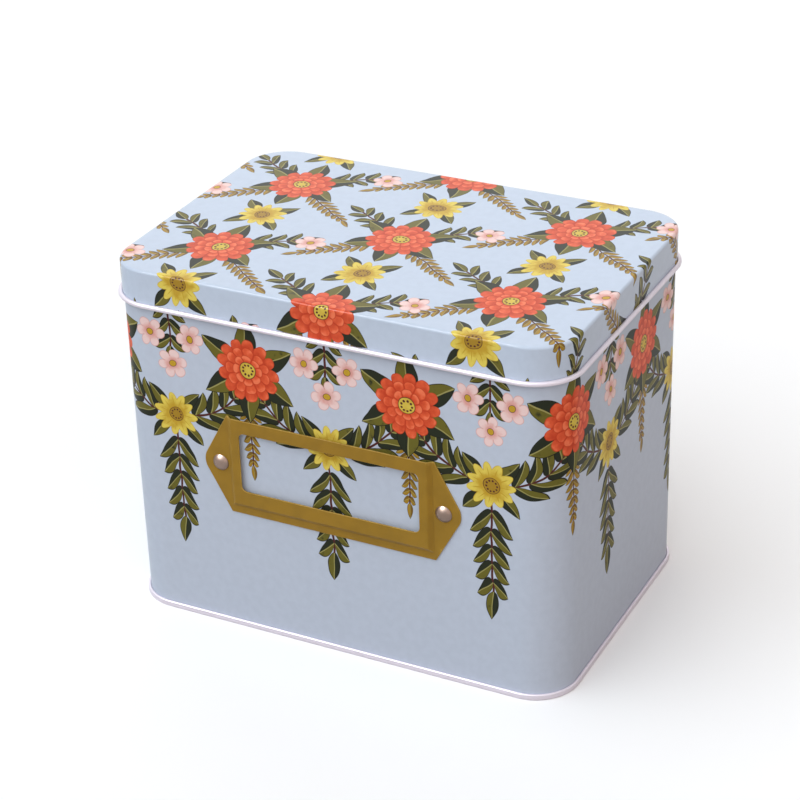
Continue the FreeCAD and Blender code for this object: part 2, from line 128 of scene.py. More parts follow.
def linear(colour: Srgb) -> Linear:
    """Turn a colour as seen on screen into the linear colour of a node.

    Args:
        colour: Red, green and blue from 0 to 255.

    Returns:
        Linear red, green, blue and an alpha of 1.
    """
    parts = [level / 255 for level in colour]
    light = [part / 12.92 if part <= 0.04045 else ((part + 0.055) / 1.055) ** 2.4 for part in parts]
    return (*light, 1.0)


def grey(level: float) -> Linear:
    """A linear grey with an alpha of 1."""
    return (level, level, level, 1.0)


def smoothstep(share: float) -> float:
    """A soft step from 0 to 1."""
    return share**2 * (3 - 2 * share)


def on_circle(centre: Point, radius: float, degrees: float) -> Point:
    """The point of a circle at an angle, counted from outwards to upwards."""
    turn = math.radians(degrees)
    return centre[0] + radius * math.cos(turn), centre[1] + radius * math.sin(turn)


@dataclass(frozen=True)
class Field:
    """A quantity that varies over a surface: a socket of a node graph, with arithmetic."""

    graph: "Graph"
    socket: bpy.types.NodeSocket

    def __add__(self, other: "Field | float") -> "Field":
        """The sum."""
        return self.graph.math("ADD", self, other)

    def __sub__(self, other: "Field | float") -> "Field":
        """The difference."""
        return self.graph.math("SUBTRACT", self, other)

    def __rsub__(self, other: float) -> "Field":
        """The difference from a number."""
        return self.graph.math("SUBTRACT", other, self)

    def __mul__(self, other: "Field | float") -> "Field":
        """The product."""
        return self.graph.math("MULTIPLY", self, other)

    def __truediv__(self, other: "Field | float") -> "Field":
        """The quotient."""
        return self.graph.math("DIVIDE", self, other)

    def __pow__(self, power: float) -> "Field":
        """The power of a quantity that isn't negative."""
        return self.graph.math("POWER", self, power)

    def __abs__(self) -> "Field":
        """The size without its sign."""
        return self.graph.math("ABSOLUTE", self)


Feed = Field | float | Sequence[float] | None
Drawn = tuple[Field, Field]


class Graph:
    """Adds nodes to a tree, a call at a time."""

    def __init__(self, tree: bpy.types.NodeTree) -> None:
        """Work on the node tree of a material, a world or a node group."""
        self.tree = tree

    def feed(self, socket: bpy.types.NodeSocket, source: Feed) -> None:
        """Link a field to an input, or set the input's own value.

        Args:
            socket: The input to feed.
            source: A field, a plain value, or None to leave the input as it is.
        """
        if isinstance(source, Field):
            self.tree.links.new(source.socket, socket)
        elif source is not None:
            socket.default_value = source

    def add(
        self, kind: str, feeds: dict[str | int, Feed] | None = None, **options: object
    ) -> bpy.types.Node:
        """Add a node.

        Args:
            kind: The node's type name.
            feeds: What goes into its inputs, by name or number.
            **options: The node's settings.

        Returns:
            The new node.
        """
        node = self.tree.nodes.new(kind)
        for name, choice in options.items():
            setattr(node, name, choice)
        for key, source in (feeds or {}).items():
            self.feed(node.inputs[key], source)
        return node

    def take(self, node: bpy.types.Node, output: str | int = 0) -> Field:
        """One output of a node, as a field."""
        return Field(self, node.outputs[output])

    def math(self, operation: str, *terms: Feed, clamp: bool = False) -> Field:
        """A Math node.

        Args:
            operation: The node's operation.
            *terms: What goes into it, in order.
            clamp: Whether the result is kept between 0 and 1.

        Returns:
            Its result.
        """
        feeds = dict(enumerate(terms))
        return self.take(self.add("ShaderNodeMath", feeds, operation=operation, use_clamp=clamp))

    def inside(self, depth: Field, soft: float = 0.12) -> Field:
        """A mask of where a depth is above zero, with a soft edge of that width."""
        return self.math("MULTIPLY_ADD", depth, 1 / soft, 0.5, clamp=True)

    def least(self, one: Feed, other: Feed) -> Field:
        """The smaller of two."""
        return self.math("MINIMUM", one, other)

    def most(self, one: Feed, other: Feed) -> Field:
        """The larger of two."""
        return self.math("MAXIMUM", one, other)

    def length(self, x: Field, y: Field) -> Field:
        """The length of a flat vector."""
        return self.math("SQRT", x * x + y * y)

    def wrap(self, place: Field, period: float) -> Field:
        """A place folded into one period, centred on zero."""
        return self.math("WRAP", place, period / 2, -period / 2)

    def mix(self, below: Field | Srgb, above: Field | Srgb, mask: Field) -> Field:
        """One colour laid over another.

        Args:
            below: The colour where the mask is 0.
            above: The colour where the mask is 1.
            mask: How far the upper colour covers.

        Returns:
            The mixed colour.
        """
        colours = [part if isinstance(part, Field) else linear(part) for part in (below, above)]
        feeds = {0: mask, 6: colours[0], 7: colours[1]}
        return self.take(self.add("ShaderNodeMix", feeds, data_type="RGBA"), 2)

    def ramp(self, value: Field, low: float, high: float) -> Field:
        """A value carried smoothly from a range to the range from 0 to 1.

        Args:
            value: The value.
            low: Where the result is 0.
            high: Where the result is 1.

        Returns:
            The carried value, kept between 0 and 1.
        """
        feeds = {0: value, 1: low, 2: high}
        return self.take(self.add("ShaderNodeMapRange", feeds, interpolation_type="SMOOTHSTEP"))

    def noise(self, vector: Field, scale: Feed, detail: float, flat: bool = False) -> bpy.types.Node:
        """A noise texture node, in two dimensions if flat."""
        feeds = {"Vector": vector, "Scale": scale, "Detail": detail}
        return self.add("ShaderNodeTexNoise", feeds, noise_dimensions="2D" if flat else "3D")

    def split(self, vector: Field) -> tuple[Field, Field]:
        """The first two parts of a vector."""
        node = self.add("ShaderNodeSeparateXYZ", {0: vector})
        return self.take(node, 0), self.take(node, 1)

    def join(self, x: Feed, y: Feed) -> Field:
        """A flat vector of two parts."""
        return self.take(self.add("ShaderNodeCombineXYZ", {0: x, 1: y}))

    def placed(self, vector: Field, x: float, y: float, turn: float = 0.0) -> Field:
        """A vector seen from a place.

        Args:
            vector: The vector.
            x: The place's first part.
            y: The place's second part.
            turn: How far the place's own axes are turned, in degrees.

        Returns:
            The vector in the place's own axes.
        """
        rotation = (0.0, 0.0, math.radians(turn))
        feeds = {"Vector": vector, "Location": (x, y, 0.0), "Rotation": rotation}
        return self.take(self.add("ShaderNodeMapping", feeds, vector_type="TEXTURE"))

    def use(self, group: "NodeGroup", feeds: dict[str, Feed]) -> dict[str, Field]:
        """Place a node group.

        Args:
            group: The group.
            feeds: What goes into its inputs, by name.

        Returns:
            Its outputs, by name.
        """
        node = self.add("ShaderNodeGroup", node_tree=group.tree)
        for name, source in feeds.items():
            self.feed(node.inputs[name], source)
        return {output.name: Field(self, output) for output in node.outputs}


class NodeGroup(Graph):
    """A shader node group with named inputs and outputs."""

    def __init__(self, name: str, inputs: dict[str, Socket], outputs: dict[str, Socket]) -> None:
        """Make the group and its sockets.

        Args:
            name: The group's name.
            inputs: The kinds of its inputs, by name.
            outputs: The kinds of its outputs, by name.
        """
        super().__init__(bpy.data.node_groups.new(name, "ShaderNodeTree"))
        for side, sockets in (("INPUT", inputs), ("OUTPUT", outputs)):
            for title, kind in sockets.items():
                self.tree.interface.new_socket(name=title, in_out=side, socket_type=kind.value)
        self.entry = self.tree.nodes.new("NodeGroupInput")
        self.exit = self.tree.nodes.new("NodeGroupOutput")

    def input(self, name: str) -> Field:
        """One of the group's inputs."""
        return Field(self, self.entry.outputs[name])

    def output(self, name: str, source: Field) -> None:
        """Send a field to one of the group's outputs."""
        self.feed(self.exit.inputs[name], source)


Laid = tuple[NodeGroup, Field]


@dataclass(frozen=True)
class Inks:
    """The colours of the printed tinplate."""

    ground: Srgb = (191, 200, 215)
    lid_ground: Srgb = (193, 205, 222)
    coral: Srgb = (236, 104, 66)
    coral_deep: Srgb = (196, 66, 40)
    coral_pale: Srgb = (248, 150, 108)
    yellow: Srgb = (226, 205, 92)
    yellow_deep: Srgb = (196, 158, 52)
    olive: Srgb = (108, 102, 44)
    forest: Srgb = (44, 48, 36)
    outline: Srgb = (34, 30, 27)
    mustard: Srgb = (168, 132, 46)
    mustard_deep: Srgb = (126, 96, 40)
    rib: Srgb = (176, 168, 104)
    pink: Srgb = (240, 210, 206)
    pink_deep: Srgb = (222, 160, 150)
    stem: Srgb = (84, 44, 42)


INKS = Inks()


@dataclass(frozen=True)
class Spot:
    """A place on a motif in millimetres, and the unevenness of the ink there, about 0.5."""

    group: NodeGroup
    x: Field
    y: Field
    brush: Field

    @cached_property
    def polar(self) -> tuple[Field, Field]:
        """Distance from the motif's origin, and the angle from the right."""
        return self.group.length(self.x, self.y), self.group.math("ARCTAN2", self.y, self.x)

    def stray(self, size: float) -> Field:
        """How far the ink strays from its mean, up to half a size either way."""
        return (self.brush - NOISE_MEAN) * size


@dataclass(frozen=True)
class Motif:
    """One drawn thing of the print, in millimetres about its own origin."""

    name: str

    def draw(self, spot: Spot) -> Drawn:
        """Draw the motif.

        Args:
            spot: The place on it.

        Returns:
            The motif's colour and its mask.
        """
        raise NotImplementedError

    def build(self) -> NodeGroup:
        """Draw the motif in a node group of its own.

        Returns:
            The group, with a place and a brush in, and a colour and a mask out.
        """
        group = NodeGroup(
            self.name,
            {"Vector": Socket.VECTOR, "Brush": Socket.VALUE},
            {"Color": Socket.COLOUR, "Mask": Socket.VALUE},
        )
        x, y = group.split(group.input("Vector"))
        colour, mask = self.draw(Spot(group, x, y, group.input("Brush")))
        group.output("Color", colour)
        group.output("Mask", mask)
        return group


@dataclass(frozen=True)
class Foliage(Motif):
    """Two-tone leaves with a pale midrib and a dark outline."""

    leaf_length: float = 10.5
    leaf_half_width: float = 2.0
    fullness: float = 0.8
    outline_width: float = 0.24
    rib_half_width: float = 0.15
    rib_strength: float = 0.75
    light: Srgb = INKS.olive
    dark: Srgb = INKS.forest
    light_cover: Span = (0.1, 0.42)
    ragged: float = 1.2
    half_blend: float = 0.5

    def leaf(self, group: NodeGroup, along: Field, across: Field) -> Field:
        """How deep a point lies inside a leaf.

        Args:
            group: The node group.
            along: The share of the leaf's length, from its base.
            across: Distance from the leaf's midrib.

        Returns:
            The depth, below zero outside the leaf.
        """
        share = group.most(along, 0.0) ** self.fullness
        swell = share * (1.0 - share) * (4 * self.leaf_half_width)
        behind = group.least(along, 0.0) * self.leaf_length
        return swell + behind - abs(across)

    def paint(self, spot: Spot, depth: Field, side: Field) -> Field:
        """Colour the two halves of a leaf, its midrib and its outline.

        Args:
            spot: The place on the motif.
            depth: How deep it lies inside the leaf.
            side: Its distance from the midrib, above zero on the light half.

        Returns:
            The colour.
        """
        group = spot.group
        light = group.mix(self.dark, self.light, group.ramp(spot.brush, *self.light_cover))
        half = group.inside(side + spot.stray(self.ragged), self.half_blend)
        rib = group.inside(self.rib_half_width - abs(side)) * self.rib_strength
        colour = group.mix(group.mix(self.dark, light, half), INKS.rib, rib)
        return group.mix(INKS.outline, colour, group.inside(depth))


@dataclass(frozen=True)
class LeafSprig(Foliage):
    """Paired leaves along a stem that grows upwards from the origin."""

    pairs: int = 5
    first: float = 6.0
    pitch: float = 6.3
    taper: float = 0.07
    lean: float = 44.0
    tip_tuck: float = 0.45
    stem_half_width: float = 0.38
    stem_over: float = 1.5

    def draw(self, spot: Spot) -> Drawn:
        """Draw the stem, its leaf pairs and the leaf at its tip.

        Args:
            spot: The place on the sprig.

        Returns:
            The sprig's colour and its mask.
        """
        group, x, y = spot.group, spot.x, spot.y
        lean = math.radians(self.lean)
        reach = abs(x)
        level = y - reach * (1 / math.tan(lean))
        row = group.math("ROUND", (level - self.first) * (1 / self.pitch))
        row = group.least(group.most(row, 0.0), self.pairs - 1.0)
        across = (level - row * self.pitch - self.first) * math.sin(lean)
        shorter = -self.taper * self.leaf_length
        length = group.math("MULTIPLY_ADD", row, shorter, self.leaf_length)
        pair = self.leaf(group, reach * (1 / math.sin(lean)) / length, across)
        crown = self.first + (self.pairs - self.tip_tuck) * self.pitch
        tip = self.leaf(group, (y - crown) * (1 / self.leaf_length), x)
        depth = group.most(pair, tip)
        side = across + (x - across) * group.inside(tip - pair)
        stem = group.least(y, crown + self.stem_over - y)
        stem = group.least(self.stem_half_width - reach, stem)
        bare = group.inside(stem - group.most(depth, 0.0))
        colour = group.mix(self.paint(spot, depth, side), INKS.stem, bare)
        return colour, group.inside(group.most(depth + self.outline_width, stem))


@dataclass(frozen=True)
class LeafWhorl(Foliage):
    """Broad leaves that stand out all round from under a flower."""

    count: int = 6
    base: float = 5.0
    turn: float = 0.0

    def draw(self, spot: Spot) -> Drawn:
        """Draw one leaf, repeated round the origin.

        Args:
            spot: The place on the whorl.

        Returns:
            The whorl's colour and its mask.
        """
        group = spot.group
        out, angle = spot.polar
        angle = group.wrap(angle - math.radians(self.turn), 2 * math.pi / self.count)
        along = (out * group.math("COSINE", angle) - self.base) * (1 / self.leaf_length)
        side = out * group.math("SINE", angle)
        depth = self.leaf(group, along, side)
        return self.paint(spot, depth, side), group.inside(depth + self.outline_width)


@dataclass(frozen=True)
class Flower(Motif):
    """Petals round an eye with a ring of dots."""

    radius: float = 11.4
    eye: float = 2.736
    seam: float = 0.24
    seam_blend: float = 0.3
    dots: int = 9
    dot_ring: float = 0.66
    dot_size: float = 0.15

    def draw_eye(self, spot: Spot, petals: Field, heart: Field | Srgb) -> Field:
        """Draw the eye over the petals.

        Args:
            spot: The place on the flower.
            petals: The petals' colour.
            heart: The eye's colour.

        Returns:
            The flower's colour.
        """
        group = spot.group
        out, angle = spot.polar
        colour = group.mix(petals, INKS.stem, group.inside(self.eye + self.seam - out))
        colour = group.mix(colour, heart, group.inside(self.eye - out))
        if not self.dots:
            return colour
        across = group.wrap(angle, 2 * math.pi / self.dots) * out
        dot = self.eye * self.dot_size - group.length(across, out - self.eye * self.dot_ring)
        return group.mix(colour, INKS.stem, group.inside(dot))


@dataclass(frozen=True)
class Rosette(Flower):
    """A full flower: rings of petals, one over the other."""

    rings: tuple[tuple[int, float], ...] = ((13, 1.0), (11, 0.74), (8, 0.48))
    scallop: float = 0.2
    scallop_power: float = 3.0
    ring_lift: float = 0.14
    streak: float = 0.7
    shading: Span = (0.35, 1.05)
    glow: Span = (0.7, 1.3)
    glow_strength: float = 0.8

    def ring(self, spot: Spot, number: int) -> Drawn:
        """Draw one ring of petals.

        Args:
            spot: The place on the flower.
            number: The ring's number, from the outside in.

        Returns:
            The ring's colour and its mask.
        """
        group = spot.group
        out, angle = spot.polar
        count, share = self.rings[number]
        reach = self.radius * share
        half = math.pi / count
        turn = abs(group.wrap(angle + half * number, 2 * half)) * (1 / half)
        edge = reach - turn**self.scallop_power * (self.scallop * reach) - out
        tone = group.math("MULTIPLY_ADD", out, 1 / reach, (number - 1) * self.ring_lift)
        tone = group.ramp(tone + spot.stray(self.streak), *self.shading)
        petal = group.mix(INKS.coral_deep, INKS.coral, tone)
        glow = group.ramp(tone, *self.glow) * self.glow_strength
        petal = group.mix(petal, INKS.coral_pale, glow)
        gap = (1.0 - turn) * out * half
        drawn = group.inside(group.least(gap, edge) - self.seam, self.seam_blend)
        return group.mix(INKS.coral_deep, petal, drawn), group.inside(edge)

    def draw(self, spot: Spot) -> Drawn:
        """Draw the rings from the outside in, then the eye.

        Args:
            spot: The place on the flower.

        Returns:
            The flower's colour and its mask.
        """
        group = spot.group
        colour, mask = self.ring(spot, 0)
        for number in range(1, len(self.rings)):
            colour = group.mix(colour, *self.ring(spot, number))
        heart = group.mix(INKS.yellow_deep, INKS.yellow, spot.brush)
        return self.draw_eye(spot, colour, heart), mask


@dataclass(frozen=True)
class Daisy(Flower):
    """A flat flower of separate petals round a broad eye."""

    radius: float = 8.4
    eye: float = 2.6
    seam: float = 0.2
    seam_blend: float = 0.2
    dots: int = 10
    dot_ring: float = 0.7
    dot_size: float = 0.13
    petals: int = 11
    petal_half_width: float = 1.8
    crease_half_width: float = 0.14
    crease_fade: Span = (0.85, 0.6)
    streak: float = 0.8
    shading: Span = (0.3, 0.85)

    def draw(self, spot: Spot) -> Drawn:
        """Draw the petals, then the eye.

        Args:
            spot: The place on the flower.

        Returns:
            The flower's colour and its mask.
        """
        group = spot.group
        out, angle = spot.polar
        across = abs(group.wrap(angle, 2 * math.pi / self.petals)) * out
        share = out * (1 / self.radius)
        swell = group.math("SQRT", group.most((1.0 - share) * share, 0.0))
        past = group.most(out - self.radius, 0.0)
        depth = swell * (2 * self.petal_half_width) - across - past
        tone = group.ramp(share + spot.stray(self.streak), *self.shading)
        colour = group.mix(INKS.yellow_deep, INKS.yellow, tone)
        crease = group.inside(self.crease_half_width - across)
        crease = crease * group.ramp(share, *self.crease_fade)
        colour = group.mix(colour, INKS.yellow_deep, crease)
        drawn = group.inside(depth - self.seam, self.seam_blend)
        colour = group.mix(INKS.yellow_deep, colour, drawn)
        colour = self.draw_eye(spot, colour, INKS.mustard)
        return colour, group.inside(group.most(depth, self.eye + self.seam - out))


@dataclass(frozen=True)
class ButtonFlower(Flower):
    """A small flower of round petals round a plain eye."""

    radius: float = 5.4
    eye: float = 1.1
    seam: float = 0.18
    dots: int = 0
    petals: int = 6
    joined: float = 0.8
    streak: float = 3.0
    blush: float = 0.7

    def draw(self, spot: Spot) -> Drawn:
        """Draw the round petals and the eye.

        Args:
            spot: The place on the flower.

        Returns:
            The flower's colour and its mask.
        """
        group = spot.group
        out, angle = spot.polar
        half = math.pi / self.petals
        swing = math.sin(half)
        middle = self.radius / (1 + swing)
        angle = group.wrap(angle, 2 * half)
        along = out * group.math("COSINE", angle) - middle
        across = out * group.math("SINE", angle)
        depth = middle * swing - group.length(along, across)
        depth = group.most(depth, middle * self.joined - out)
        tone = group.ramp(out + spot.stray(self.streak), self.eye, self.radius * self.blush)
        colour = group.mix(INKS.pink_deep, INKS.pink, tone)
        drawn = group.inside(depth - self.seam, self.seam_blend)
        colour = group.mix(INKS.pink_deep, colour, drawn)
        return self.draw_eye(spot, colour, INKS.yellow_deep), group.inside(depth)


class Motifs:
    """The node groups of every motif, shared by the prints of the lid and the body."""

    def __init__(self) -> None:
        """Build each motif once."""
        self.sprig = LeafSprig("Leaf sprig").build()
        self.spray = LeafSprig(
            "Spray",
            leaf_length=8.0,
            leaf_half_width=1.6,
            pairs=3,
            first=4.0,
            pitch=5.6,
            lean=50.0,
        ).build()
        self.fern = LeafSprig(
            "Fern",
            leaf_length=5.8,
            leaf_half_width=1.0,
            outline_width=0.1,
            rib_half_width=0.08,
            light=INKS.mustard,
            dark=INKS.mustard_deep,
            pairs=8,
            first=2.5,
            pitch=3.1,
            taper=0.075,
            lean=50.0,
            stem_half_width=0.28,
        ).build()
        self.garland = LeafSprig(
            "Garland", leaf_length=11.0, pairs=4, first=8.0, pitch=6.0, taper=0.0
        ).build()
        self.whorl = LeafWhorl(
            "Whorl", leaf_length=14.5, leaf_half_width=3.8, rib_half_width=0.2, base=4.0
        ).build()
        self.star = LeafWhorl(
            "Star", leaf_length=9.5, leaf_half_width=2.2, count=4, base=4.0, turn=45.0
        ).build()
        self.rosette = Rosette("Rosette").build()
        self.daisy = Daisy("Daisy").build()
        self.button = ButtonFlower("Button flower").build()


@dataclass(frozen=True, kw_only=True)
class Print:
    """A printed design on a flat sheet, in millimetres."""

    motifs: Motifs
    title: str = "Print"
    ground: Srgb = INKS.ground
    cloud: Span = (0.2, 0.8)
    cloud_lift: int = 4
    brush_scale: float = 0.35
    brush_detail: float = 3.0
    wander: float = 2.0
    wander_scale: float = 0.09
    wander_detail: float = 1.0

    def build(self) -> NodeGroup:
        """Print the motifs on the ground, in a node group.

        Returns:
            The group, with a place on the sheet in and a colour out.
        """
        group = NodeGroup(self.title, {"Vector": Socket.VECTOR}, {"Color": Socket.COLOUR})
        sheet = group.input("Vector")
        brush = group.take(group.noise(sheet, self.brush_scale, self.brush_detail, flat=True))
        pale = tuple(min(level + self.cloud_lift, 255) for level in self.ground)
        colour = group.mix(self.ground, pale, group.ramp(brush, *self.cloud))
        for motif, vector in self.laid(group, self.hand_drawn(group, sheet)):
            drawn = group.use(motif, {"Vector": vector, "Brush": brush})
            colour = group.mix(colour, drawn["Color"], drawn["Mask"])
        group.output("Color", colour)
        return group

    def hand_drawn(self, group: NodeGroup, sheet: Field) -> Field:
        """Move places a little, so that outlines look drawn by hand.

        Args:
            group: The design's group.
            sheet: The place on the sheet.

        Returns:
            The moved place.
        """
        noise = group.noise(sheet, self.wander_scale, self.wander_detail, flat=True)
        feeds = {0: group.take(noise, "Color"), 1: (NOISE_MEAN,) * 3}
        shake = group.take(group.add("ShaderNodeVectorMath", feeds, operation="SUBTRACT"))
        feeds = {0: shake, 1: (self.wander,) * 3, 2: sheet}
        return group.take(group.add("ShaderNodeVectorMath", feeds, operation="MULTIPLY_ADD"))

    def laid(self, group: NodeGroup, sheet: Field) -> list[Laid]:
        """Lay the motifs out.

        Args:
            group: The design's group.
            sheet: The place on the sheet.

        Returns:
            Each motif with the place in its own axes, the lowest first.
        """
        raise NotImplementedError


@dataclass(frozen=True, kw_only=True)
class FestoonPrint(Print):
    """Garlands that hang round the upper part of the body."""

    girth: float
    title: str = "Festoon print"
    repeats: int = 9
    peak: float = 99.0
    sag: float = 22.0
    fern_drop: float = 9.0
    whorl_turn: float = 30.0
    sprig_drop: float = 4.0
    spray_height: float = 121.0
    pair_spread: float = 7.6
    pair_height: float = 106.0
    single_height: float = 96.0
    single_turn: float = 15.0

    def laid(self, group: NodeGroup, sheet: Field) -> list[Laid]:
        """Hang a garland in each repeat, with flowers at its ends and its lowest point.

        Args:
            group: The design's group.
            sheet: The place on the sheet.

        Returns:
            Each motif with the place in its own axes, the lowest first.
        """
        motifs = self.motifs
        period = self.girth / self.repeats
        end = period / 2
        swing = (end**2 + self.sag**2) / (2 * self.sag)
        low = self.peak - self.sag
        x, y = group.split(sheet)
        x = group.wrap(x, period)
        span = abs(x)
        below = (low + swing) - y
        arc = group.math("ARCTAN2", span, below) * swing
        along = group.join(group.length(x, below) - swing, arc)
        cell = group.join(x, y)
        half_cell = group.join(span, y)
        ends = group.join(group.wrap(x - end, period), y)
        return [
            (motifs.fern, group.placed(ends, 0.0, self.peak - self.fern_drop, UPSIDE_DOWN)),
            (motifs.garland, along),
            (motifs.whorl, group.placed(ends, 0.0, self.peak, self.whorl_turn)),
            (motifs.sprig, group.placed(cell, 0.0, low - self.sprig_drop, UPSIDE_DOWN)),
            (motifs.spray, group.placed(cell, 0.0, self.spray_height, UPSIDE_DOWN)),
            (motifs.button, group.placed(half_cell, self.pair_spread, self.pair_height)),
            (motifs.button, group.placed(cell, 0.0, self.single_height, self.single_turn)),
            (motifs.star, group.placed(cell, 0.0, low)),
            (motifs.daisy, group.placed(cell, 0.0, low)),
            (motifs.rosette, group.placed(ends, 0.0, self.peak)),
        ]


@dataclass(frozen=True)
class Shoot:
    """A sprig to the right of a flower: its root and its middle, and how far it is turned."""

    root: Point
    middle: Point
    turn: float


@dataclass(frozen=True, kw_only=True)
class HalfDropPrint(Print):
    """An all-over repeat for the lid, with every other column dropped by half."""

    title: str = "Half-drop print"
    ground: Srgb = INKS.lid_ground
    across: float = 52.0
    down: float = 56.0
    whorl_turn: float = 30.0
    fern: Shoot = Shoot(root=(6.0, -6.0), middle=(18.0, -16.0), turn=-128.0)
    spray: Shoot = Shoot(root=(6.0, 5.0), middle=(16.0, 11.0), turn=-58.0)

    def cell(self, group: NodeGroup, sheet: Field, x: float = 0.0, y: float = 0.0) -> Field:
        """The place within one repeat.

        Args:
            group: The design's group.
            sheet: The place on the sheet.
            x: Where the repeat's origin lies, to the right.
            y: Where the repeat's origin lies, upwards.

        Returns:
            The place seen from that origin.
        """
        right, up = group.split(group.placed(sheet, x, y))
        column = group.math("ROUND", right * (1 / self.across))
        odd = group.math("FLOORED_MODULO", column, 2.0)
        dropped = group.wrap(up + odd * (self.down / 2), self.down)
        return group.join(group.wrap(right, self.across), dropped)

    def grown(self, group: NodeGroup, sheet: Field, shoot: Shoot, side: Side) -> Field:
        """The place seen from the root of a shoot, in the repeat about the shoot's middle.

        Args:
            group: The design's group.
            sheet: The place on the sheet.
            shoot: The shoot, as it grows on the right.
            side: The side of the flower that it is wanted on.

        Returns:
            The place in the shoot's own axes.
        """
        sign = side.value
        cell = self.cell(group, sheet, sign * shoot.middle[0], shoot.middle[1])
        x = sign * (shoot.root[0] - shoot.middle[0])
        y = shoot.root[1] - shoot.middle[1]
        return group.placed(cell, x, y, sign * shoot.turn)

    def laid(self, group: NodeGroup, sheet: Field) -> list[Laid]:
        """Place the flowers on their lattices and the leaves between them.

        Args:
            group: The design's group.
            sheet: The place on the sheet.

        Returns:
            Each motif with the place in its own axes, the lowest first.
        """
        motifs = self.motifs
        laid: list[Laid] = []
        for side in Side:
            laid.append((motifs.fern, self.grown(group, sheet, self.fern, side)))
            laid.append((motifs.spray, self.grown(group, sheet, self.spray, side)))
        middle = self.cell(group, sheet)
        between = self.cell(group, sheet, self.across / 2, self.down / 4)
        lower = self.cell(group, sheet, 0.0, self.down / 2)
        return laid + [
            (motifs.whorl, group.placed(middle, 0.0, 0.0, self.whorl_turn)),
            (motifs.star, lower),
            (motifs.daisy, lower),
            (motifs.button, between),
            (motifs.rosette, middle),
        ]


@dataclass(frozen=True)
class Unevenness:
    """Fine grain and broad smudges of a surface."""

    grain_share: float = 0.15
    grain_detail: float = 3.0
    grain_height: float = 0.002
    smudge_detail: float = 1.0
    span: Span = (0.3, 0.7)

    def build(self) -> NodeGroup:
        """Make the effect.

        Returns:
            The group, with two scales and two roughnesses in, and a roughness and a height out.
        """
        inputs = {name: Socket.VALUE for name in ("Fine Scale", "Broad Scale", "Low", "High")}
        group = NodeGroup(
            "Unevenness",
            {"Vector": Socket.VECTOR, **inputs},
            {"Roughness": Socket.VALUE, "Height": Socket.VALUE},
        )
        vector = group.input("Vector")
        grain = group.take(group.noise(vector, group.input("Fine Scale"), self.grain_detail))
        smudge = group.take(group.noise(vector, group.input("Broad Scale"), self.smudge_detail))
        both = grain * self.grain_share + smudge * (1 - self.grain_share)
        low = group.input("Low")
        rough = low + (group.input("High") - low) * group.ramp(both, *self.span)
        group.output("Roughness", rough)
        group.output("Height", grain * self.grain_height + smudge)
        return group


@dataclass(frozen=True)
class EdgeMarks:
    """Outer edges get wear with a painted highlight, and inner corners get dirt with painted shade,
    both broken up by noise.
    """

    detail: float = 4.0
    wear_and_highlight_patch: float = 0.9
    wear_and_highlight_span: Span = (0.0, 0.35)
    dirt_and_shade_patch: float = 0.5
    dirt_and_shade_span: Span = (0.15, 0.8)

    def build(self) -> NodeGroup:
        """Make the effect.

        Returns:
            The group, with a sharpness, a scale and a reach in, and two masks out: wear with a
            painted highlight, and dirt with painted shade.
        """
        inputs = {name: Socket.VALUE for name in ("Edge", "Scale", "Reach")}
        group = NodeGroup(
            "Edges",
            {"Vector": Socket.VECTOR, **inputs},
            {"WearAndHighlight": Socket.VALUE, "DirtAndShade": Socket.VALUE},
        )
        noise = group.noise(group.input("Vector"), group.input("Scale"), self.detail)
        patch = group.take(noise) - NOISE_MEAN
        edge = group.input("Edge")
        # Wear with a painted highlight: a mask that lightens where outer edges turn sharply.
        wear_and_highlight = edge + patch * self.wear_and_highlight_patch + group.input("Reach") - 1.0
        group.output("WearAndHighlight", group.ramp(wear_and_highlight, *self.wear_and_highlight_span))
        # Dirt with painted shade: a mask that darkens where the surface turns into an inner corner.
        group.output("DirtAndShade", group.ramp(edge * -1.0 + patch * self.dirt_and_shade_patch, *self.dirt_and_shade_span))
        return group


class Effects:
    """Surface effects that several finishes share, each a node group built once."""

    def __init__(self) -> None:
        """Build the groups."""
        self.unevenness = Unevenness().build()
        self.edges = EdgeMarks().build()


